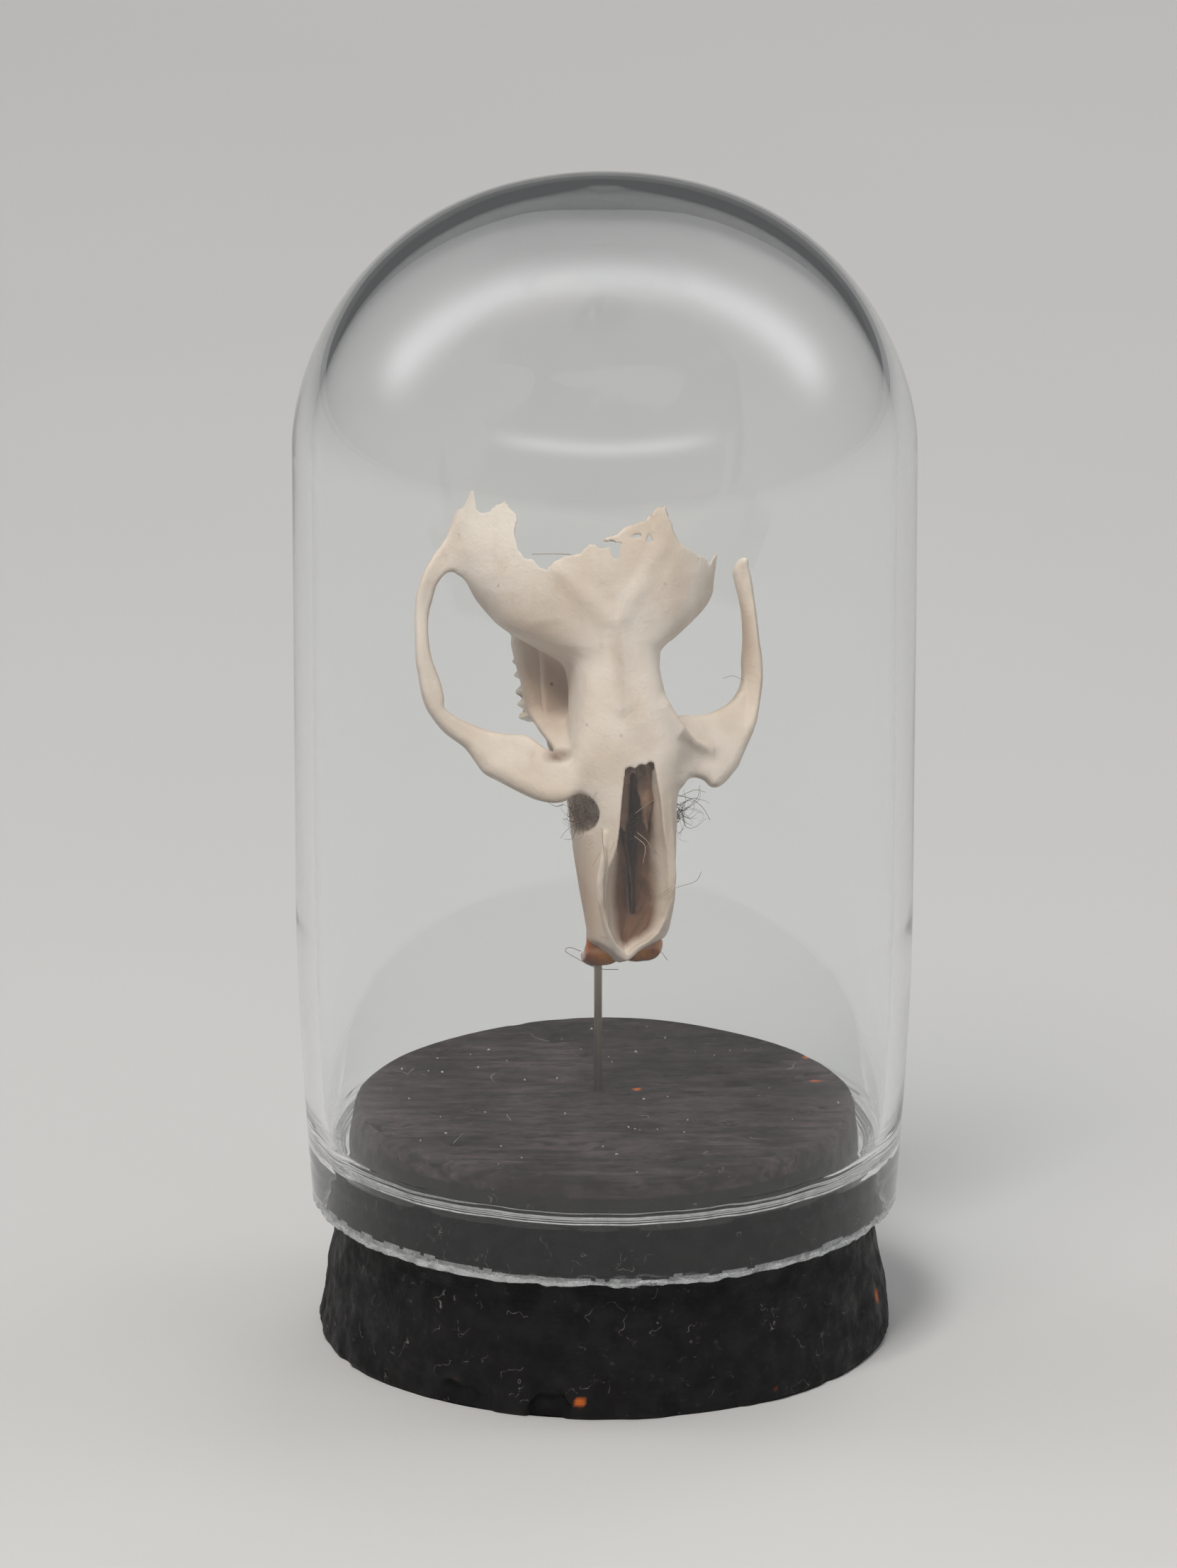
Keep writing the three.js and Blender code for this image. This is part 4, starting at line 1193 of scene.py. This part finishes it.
def stains_and_shade(points, trough, depth):
    """How brown each point of the bone is: old tissue, dirt and dark joints, and painted shade.
    The painted shade makes the nose darker with depth and also covers the crevice by the right
    arch's root, the orbit's wall and the pores.
    """
    speckle = noise(points, 1.1, 51) * 0.5 + noise(points, 0.35, 52) * 0.35
    inside = np.clip(1.5 - np.abs(sample(trough, points)) * 2.6, 0, 1)
    # Painted shade: the nose is made darker the deeper a point lies below its rim.
    deep = np.clip((sample(depth, points) - 0.3) / 3.6, 0, 1)
    middle = np.clip(1.6 - np.abs(points[:, 0] - 0.1) * 1.0, 0, 1)
    high = np.clip((points[:, 2] - 7.0) / 2.5, 0, 1)
    shore = np.clip(deep * 4 - 0.25, 0, 1)
    # The nose's inside: its brown tissue, and painted shade that grows with depth.
    nose = inside * shore * np.clip(deep * (0.3 + 0.9 * high) + middle * 0.9 - 0.1, 0, 1) * 1.5
    spots = [
        ((-10.4, 0.0, 22.8), (0.45, 0.8, 0.9), 0.6),
        # Painted shade and brown staining in the crevice between the right arch's root and the
        # brow.
        ((-4.0, -2.4, 13.0), (1.1, 1.6, 0.6), 0.9),
        # Painted shade, with some brown, on the orbit's hollow wall under the frontal's edge.
        ((-2.2, 0.6, 17.4), (1.3, 2.6, 2.6), 0.16),
        ((-4.3, 3.0, 17.0), (0.6, 1.5, 4.0), 0.2),
        ((-2.75, -1.2, 9.4), (1.5, 1.9, 1.5), 1.0),
        ((3.2, -1.0, 9.3), (1.0, 1.2, 1.5), 0.8),
        ((9.5, 0.0, 23.1), (0.2, 0.6, 0.4), 0.4),
        ((-0.25, -5.3, 16.9), (0.18, 0.5, 0.16), 0.7),
        ((-0.7, -5.3, 13.7), (0.16, 0.5, 0.14), 0.5),
        ((-2.6, -4.8, 14.6), (0.12, 0.6, 0.12), 0.6),
        ((-6.9, -3.5, 23.6), (0.06, 1.0, 0.16), 0.7),
        ((-8.6, -1.5, 27.0), (0.06, 1.0, 0.2), 0.6),
        ((3.0, -5.8, 22.6), (0.1, 0.6, 0.08), 0.8),
        ((-4.4, -4.8, 20.9), (1.6, 1.6, 0.4), 0.22),
    ]
    # The pores are dark dots: painted shade standing for their small holes.
    pores = [(-1.55, 16.0), (-1.7, 14.6), (-1.75, 14.3), (-1.6, 13.6), (-1.9, 13.1), (-2.9, 17.6)]
    spots += [((x, 0.5, z), (0.15, 4.0, 0.15), 1.8) for x, z in pores]
    total = nose + 0.35 * nose * speckle
    # A thin dirty line where the frontal bone meets the parietals.
    seam = np.abs(points[:, 2] - 20.65 - 0.3 * noise(points, 1.6, 57, 3))
    dirt = np.clip(0.5 + noise(points, 1.1, 58, 2), 0, 1) * (np.abs(points[:, 0]) < 2.4)
    total = total + np.clip(1 - seam / 0.08, 0, 1) * dirt * 0.16
    for centre, radii, weight in spots:
        total = total + patch(points, centre, radii) * weight * (0.75 + 0.6 * speckle)
    return np.clip(total, 0, 1)


def warmth_and_shade(points):
    """Where the bone is painted warmer and darker. The thick crest and the arch's roots get their
    warmer tone. The snout's sides and inside and the sockets' floor also get painted shade for
    those deep parts.
    """
    places = [
        ((-0.5, -5.6, 18.5), (0.5, 1.2, 4.0), 0.22),
        ((-2.2, -5, 23.5), (2.2, 2, 1.6), 0.12),
        ((4.2, -5, 23.0), (1.2, 2, 1.2), 0.15),
        ((-7.9, -0.8, 22.6), (2.4, 2.5, 1.6), 0.2),
        ((-8.3, -0.8, 27.2), (1.2, 1.5, 1.8), 0.15),
        # Painted shade, with some warmer tone: the snout's sides and inside.
        ((-3.4, 0, 4.5), (1.8, 3.8, 6.5), 1.0),
        ((0.5, -0.4, 4.5), (2.2, 2.2, 5.5), 0.65),
        ((3.2, 0, 4.5), (1.4, 3.4, 6), 0.6),
        ((9.3, 0.2, 20), (0.6, 1.0, 4), 0.35),
        ((-10.8, 0, 23.5), (1, 1, 1.5), 0.3),
        # Painted shade, with some warmer tone: the floor of the cheek teeth's sockets.
        ((-3.6, 2.2, 18), (2.2, 3.2, 6.5), 0.5),
        ((3.6, 2.2, 18), (2.2, 3.2, 6.5), 0.7),
        ((0.6, -5.6, 13.4), (1.3, 1.0, 1.6), 0.2),
        ((7.4, -0.2, 13.3), (2.0, 1.5, 1.2), 0.15),
    ]
    total = 0.04 + 0.16 * noise(points, 3.5, 53, 2)
    for centre, radii, weight in places:
        total = total + patch(points, centre, radii) * weight
    return np.clip(total, 0, 1)


def relief(points):
    """The bone's own unevenness, and the fine growth rings on the right of the vault."""
    uneven = 0.045 * noise(points, 2.4, 54, 2) + 0.02 * noise(points, 0.7, 55, 2)
    reach = np.hypot(points[:, 0] + 2.1, points[:, 2] - 25.2)
    rings = np.sin(reach * 13 + 1.5 * noise(points, 1.5, 56, 1))
    where = patch(points, (-3.0, -6.2, 23.9), (1.5, 1.5, 1.1))
    return uneven + 0.035 * rings * where


def make_bones(material):
    bone, trough, depth = bone_field()
    turn = np.array(SKULL_PLACE.to_3x3())
    for name, field in bone_regions(bone).items():
        points, quads = surface_of(field)
        points, quads = without_crumbs(points, quads)
        outside = sample(bone, points) > -0.6 * VOXEL
        normal = np.where(outside[:, None], slopes(bone, points), slopes(field, points))
        rise = normal * relief(points)[:, None]
        piece = add_piece(
            f"bone_{name}", points + rise, quads, material, "skull", skull=True
        )
        # Staining, and painted shade in the nose and in hollows.
        paint(piece, "stain_and_shade", stains_and_shade(points, trough, depth))
        # Warmer tone, and painted shade in the deep parts of the snout and sockets.
        paint(piece, "warm_and_shade", warmth_and_shade(points))
        # On the outside the normals are those of the whole bone, so that no suture shows.
        facing = normal @ turn.T
        plain = np.empty(len(points) * 3, np.float32)
        piece.data.vertices.foreach_get("normal", plain)
        plain = plain.reshape(-1, 3)
        facing = np.where((facing * plain).sum(1)[:, None] > 0.35, facing, plain)
        piece.data.normals_split_custom_set_from_vertices(facing.tolist())
        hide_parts(name)


# ---- Inside the nose ----


def leaf_field(plan, depth, half=0.13, edge=0.1):
    return slab(outline(plan), depth, half, edge)


def make_nose_bones(material):
    """The torn leaves left in the nose: scrolls hanging from its roof, and the septum's edge."""
    wave = 0.12 * np.sin(Z * 3.1) + 0.1 * np.sin(X * 5 + Z)
    septum = np.maximum(
        np.abs(X - 0.3 - 0.08 * np.sin(Z * 1.7)) - 0.11,
        np.maximum(np.abs(Y - 1.15) - 1.3 + 0.25 * np.abs(Z - 6), np.maximum(2.6 - Z, Z - 9.5)),
    )
    right = leaf_field(
        [(-0.75, 11.9), (0.1, 12.0), (0.0, 10.4), (-0.2, 9.6), (-0.1, 8.6), (-0.45, 7.9),
         (-0.85, 8.4), (-0.95, 9.8)],
        along(Z, [(7, -2.0), (9, -3.1), (12, -4.3)]) + wave + 0.9 * np.maximum(X + 0.4, 0),
    )
    left = leaf_field(
        [(0.35, 12.0), (1.5, 12.0), (1.55, 10.6), (1.4, 9.2), (1.1, 8.1), (0.95, 7.7),
         (0.75, 8.6), (0.45, 10.2)],
        along(Z, [(7, -2.2), (9, -3.2), (12, -4.4)]) + wave + 0.7 * np.abs(X - 0.95),
    )
    curl = leaf_field(
        [(1.05, 9.0), (1.6, 9.2), (1.5, 7.4), (1.35, 6.2), (1.1, 6.4), (1.0, 7.6)],
        along(Z, [(6, -1.6), (9, -2.6)]) - 0.5 * (X - 1.2) + wave,
    )
    leaves = {
        "nasal_septum": septum,
        "turbinate_right": right,
        "turbinate_left": union(left, curl, 0.2),
    }
    for name, field in leaves.items():
        full = np.broadcast_to(field, tuple(COUNT)).astype(np.float32)
        points, quads = without_crumbs(*surface_of(np.ascontiguousarray(full)))
        ragged = noise(points, 0.8, 61)[:, None] * (0.12, 0.2, 0.08)
        piece = add_piece(
            f"leaf_{name}", points + ragged, quads, material, "skull", skull=True
        )
        speckle = noise(points, 0.7, 65)
        paint(piece, "stain_and_shade", np.clip(0.75 + 0.5 * speckle, 0, 1))
        paint(piece, "warm_and_shade", np.full(len(points), 0.5))
        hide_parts(name)


# ---- Teeth ----


def make_incisors(material):
    """Each incisor comes out of the snout and curves down, flatter on its rear face."""
    for name, turn in (("incisor_right", -1), ("incisor_left", 1)):
        path = smooth_path(
            [
                (turn * 1.27 - 0.3, 1.75, 2.3), (turn * 1.28 - 0.3, 1.35, 1.45),
                (turn * 1.28 - 0.3, 1.7, 0.92), (turn * 1.27 - 0.3, 2.5, 0.8),
                (turn * 1.2 - 0.3, 3.4, 0.85),
            ],
            34,
        )
        run = np.linspace(0, 1, len(path))
        wide = np.interp(run, (0, 0.35, 0.8, 1), (0.9, 1.2, 1.22, 1.1))
        deep = np.interp(run, (0, 0.4, 0.8, 1), (0.75, 0.82, 0.72, 0.25))
        sides = 40
        angles = np.linspace(0, 2 * math.pi, sides, endpoint=False)
        tangent = np.gradient(path, axis=0)
        tangent /= np.linalg.norm(tangent, axis=1)[:, None]
        front = np.cross(tangent, (1.0, 0, 0))
        front /= np.linalg.norm(front, axis=1)[:, None]
        rings = []
        for centre, facing, a, b in zip(path, front, wide, deep):
            round_x = np.sign(np.cos(angles)) * np.abs(np.cos(angles)) ** 0.8
            rise = np.sin(angles)
            rise = np.where(rise > 0, rise, rise * 0.75)
            groove = 1 - 0.04 * np.exp(-((round_x / 0.18) ** 2)) * (rise > 0)
            ring = (
                centre
                + np.outer(round_x * a, (1.0, 0, 0))
                + np.outer(rise * b * groove, facing)
            )
            rings.append(ring)
        points = np.vstack(rings)
        points = points + noise(points, 0.9, 71, 2)[:, None] * 0.02
        faces = [(a, d, c, b) for a, b, c, d in skin(len(path), sides)]
        faces.append(tuple(range(sides)))
        last = (len(path) - 1) * sides
        faces.append(tuple(reversed(range(last, last + sides))))
        tooth = add_piece(
            f"enamel_{name}", points, faces, material, "skull", skull=True
        )
        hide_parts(name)


MOLARS = [(1, 15.5, 3, 0.82), (2, 18.05, 2, 0.92), (3, 20.0, 3, 0.76)]


def make_molars(material):
    """Cheek teeth: rows of prisms, with a sharp corner on each side of every prism."""
    for name, turn in (("right", -1), ("left", 1)):
        for number, start, prisms, pitch in MOLARS:
            outline_points = [(0, start)]
            for prism in range(prisms):
                outline_points.append((0.78, start + pitch * (prism + 0.45)))
                outline_points.append((0.28, start + pitch * (prism + 0.98)))
            for prism in reversed(range(prisms)):
                outline_points.append((-0.72, start + pitch * (prism + 0.6)))
                if prism:
                    outline_points.append((-0.22, start + pitch * (prism + 0.08)))
            corners = np.array(outline_points)
            fine = []
            for a, b in zip(corners, np.roll(corners, -1, axis=0)):
                for share in (0, 0.2, 0.4, 0.6, 0.8):
                    fine.append(a + (b - a) * share)
            fine = np.array(fine)
            fine = (fine + np.roll(fine, 1, 0) + np.roll(fine, -1, 0)) / 3
            middle = fine.mean(0)
            levels = [(2.9, 0.9), (3.4, 0.96), (4.0, 1.0), (4.8, 1.02), (5.3, 1.0), (5.45, 0.9)]
            rings = []
            for depth, size in levels:
                ring = middle + (fine - middle) * size
                lean = 3.5 + 0.1 * (depth - 3)
                rings.append(np.column_stack([
                    turn * (lean + ring[:, 0]), np.full(len(ring), depth), ring[:, 1],
                ]))
            inner = middle + (fine - middle) * 0.72
            rings.append(np.column_stack([
                turn * (3.75 + inner[:, 0]), np.full(len(inner), 5.25), inner[:, 1],
            ]))
            points = np.vstack(rings)
            points = points + noise(points, 0.5, 80 + number, 2)[:, None] * 0.03
            count = len(fine)
            faces = [face[::turn] for face in skin(len(rings), count)]
            faces.append(tuple(range(count))[::-turn])
            last = (len(rings) - 1) * count
            faces.append(tuple(range(last, last + count))[::turn])
            tooth = add_piece(
                f"prisms_{name}_{number}", points, faces, material, "skull", skull=True
            )
            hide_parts(f"molar_{number}_{name}")


# ---- Hairs and dust ----


def hair(rng, start, direction, length, curl, thickness, steps=14):
    """One hair that leaves a point in a direction and wanders."""
    direction = np.array(direction, float)
    direction /= np.linalg.norm(direction)
    turning = rng.normal(0, curl, 3)
    points = [np.array(start, float)]
    for _ in range(steps - 1):
        turning = turning * 0.8 + rng.normal(0, curl * 0.5, 3)
        direction = direction + turning / steps
        direction /= np.linalg.norm(direction)
        points.append(points[-1] + direction * length / (steps - 1))
    radii = thickness * np.linspace(1, 0.35, steps)
    return tube_mesh(points, radii, 5)


def make_tuft(name, centre, radii, lean, count, seed, material):
    """Matted fur that fills an opening: curled hairs wound round each other."""
    rng = np.random.default_rng(seed)
    hairs = []
    for _ in range(count):
        offset = rng.normal(0, 0.36, 3) * radii
        start = np.array(centre) + offset
        direction = rng.normal(0, 1, 3) * (1, 0.5, 1) + np.array(lean)
        length = rng.uniform(1.0, 2.7)
        hairs.append(hair(rng, start, direction, length, 4.5, rng.uniform(0.012, 0.024)))
    points, faces = joined_mesh(hairs)
    return add_piece(name, points, faces, material, "skull", skull=True)


def make_hairs(fur, pale):
    make_tuft("fur_right", (-2.8, -1.6, 9.4), (1.15, 0.9, 1.15), (-0.1, -0.25, -0.6), 74, 91, fur)
    make_tuft("fur_left", (3.35, -1.8, 9.0), (0.45, 0.6, 1.0), (0.3, -0.1, -0.5), 40, 92, fur)
    make_tuft("fur_nose", (0.0, -1.2, 8.2), (0.8, 1.2, 1.6), (0.2, -0.3, -0.5), 16, 93, fur)
    rng = np.random.default_rng(94)
    hairs = []
    roots = [(-2.3, -3.0, 8.2), (-1.8, -3.6, 8.4), (-2.6, -3.3, 10.6), (-1.6, -4.2, 10.8)]
    for root in roots:
        for _ in range(3):
            start = np.array(root) + rng.normal(0, 0.25, 3)
            hairs.append(hair(rng, start, (rng.normal(0, 0.5), -0.25, -1), 2.2, 1.5, 0.014))
    points, faces = joined_mesh(hairs)
    add_piece("fur_snout", points, faces, fur, "skull", skull=True)

    # Single hairs, each on a path of its own.
    singles = [
        ([(-2.9, 2.0, 1.1), (-3.6, 1.8, 1.4), (-3.9, 1.8, 1.2), (-3.2, 2.0, 0.7),
          (-1.9, 2.2, -0.05), (-0.6, 2.2, -0.25)], 0.022),
        ([(1.6, 2.0, 0.8), (2.1, 2.0, 0.6), (2.5, 2.0, 0.0)], 0.018),
        ([(3.3, -1.8, 9.9), (4.2, -1.6, 9.6), (4.9, -1.5, 9.0), (5.3, -1.4, 8.2)], 0.02),
        ([(3.5, -1.6, 9.8), (4.4, -2.0, 10.1), (5.0, -2.2, 9.9)], 0.016),
        ([(1.2, -2.8, 3.7), (2.2, -2.9, 4.2), (3.2, -2.4, 4.4), (3.9, -2.0, 4.6),
          (4.3, -1.8, 5.1)], 0.018),
        ([(-4.9, -5.0, 25.2), (-3.8, -5.2, 25.12), (-2.6, -5.5, 24.95)], 0.025),
        ([(0.0, -4.0, 7.8), (0.5, -4.3, 7.2), (0.9, -4.0, 6.4)], 0.02),
        ([(-0.2, -4.0, 7.6), (0.3, -4.4, 6.9), (0.1, -4.2, 5.9)], 0.024),
        ([(0.2, -3.2, 9.0), (1.2, -3.6, 9.6), (2.0, -4.0, 9.8)], 0.02),
        ([(0.9, -2.9, 3.7), (1.6, -3.2, 4.1), (2.0, -3.2, 4.3)], 0.018),
        ([(-2.0, -3.6, 9.4), (-2.2, -3.9, 7.0), (-2.1, -3.8, 5.0)], 0.016),
        ([(8.7, -0.2, 16.6), (8.0, -0.4, 16.9), (7.4, -0.3, 16.8)], 0.016),
    ]
    parts = [tube_mesh(smooth_path(path, 22), size, 6) for path, size in singles]
    points, faces = joined_mesh(parts)
    add_piece("stray_hairs", points, faces, pale, "skull", skull=True)


SPECKS = 46
FIBRES = 9


def make_dust(material):
    """Specks and short fibres that have settled on the cork."""
    rng = np.random.default_rng(97)
    parts = []
    for _ in range(SPECKS):
        radius = CORK_TOP_RADIUS * 0.95 * math.sqrt(rng.random())
        angle = rng.uniform(0, 2 * math.pi)
        place = np.array([radius * math.cos(angle), radius * math.sin(angle), CORK_TOP])
        size = rng.uniform(0.025, 0.07)
        path = [place + (0, 0, -size), place + rng.normal(0, size, 3) * (1, 1, 0.3)]
        path.append(path[-1] + rng.normal(0, size, 3) * (1, 1, 0.3))
        parts.append(tube_mesh(path, [size * 0.8, size, size * 0.5], 6))
    for _ in range(FIBRES):
        radius = CORK_TOP_RADIUS * 0.85 * math.sqrt(rng.random())
        angle = rng.uniform(0, 2 * math.pi)
        start = (radius * math.cos(angle), radius * math.sin(angle), CORK_TOP + 0.03)
        heading = (rng.normal(), rng.normal(), 0)
        points, faces = hair(rng, start, heading, rng.uniform(0.8, 2.6), 1.6, 0.016)
        points[:, 2] = CORK_TOP + 0.03 + (points[:, 2] - CORK_TOP - 0.03) * 0.1
        parts.append((points, faces))
    points, faces = joined_mesh(parts)
    add_piece("settled_dust", points, faces, material, "base")


# ---- Putting it together ----

make_camera()
make_lights()

bpy.ops.mesh.primitive_plane_add(size=FLOOR_SIZE)
floor = bpy.context.object
floor.name = "floor"
floor.data.materials.append(floor_material())

make_cork(cork_material())
make_glass(glass_material(), ground_material())
make_pin(pin_material())
make_glue(glue_material())
bone = bone_material()
make_bones(bone)
make_nose_bones(bone_material("stained_leaf", (0.40, 0.26, 0.17), (0.28, 0.16, 0.10)))
make_incisors(incisor_material())
make_molars(molar_material())
make_hairs(
    hair_material("brown_fur", (0.035, 0.016, 0.009), (0.16, 0.085, 0.05)),
    hair_material("pale_hair", (0.20, 0.14, 0.09), (0.50, 0.42, 0.33)),
)
make_dust(hair_material("dust", (0.30, 0.28, 0.25), (0.72, 0.70, 0.66), 0.8))
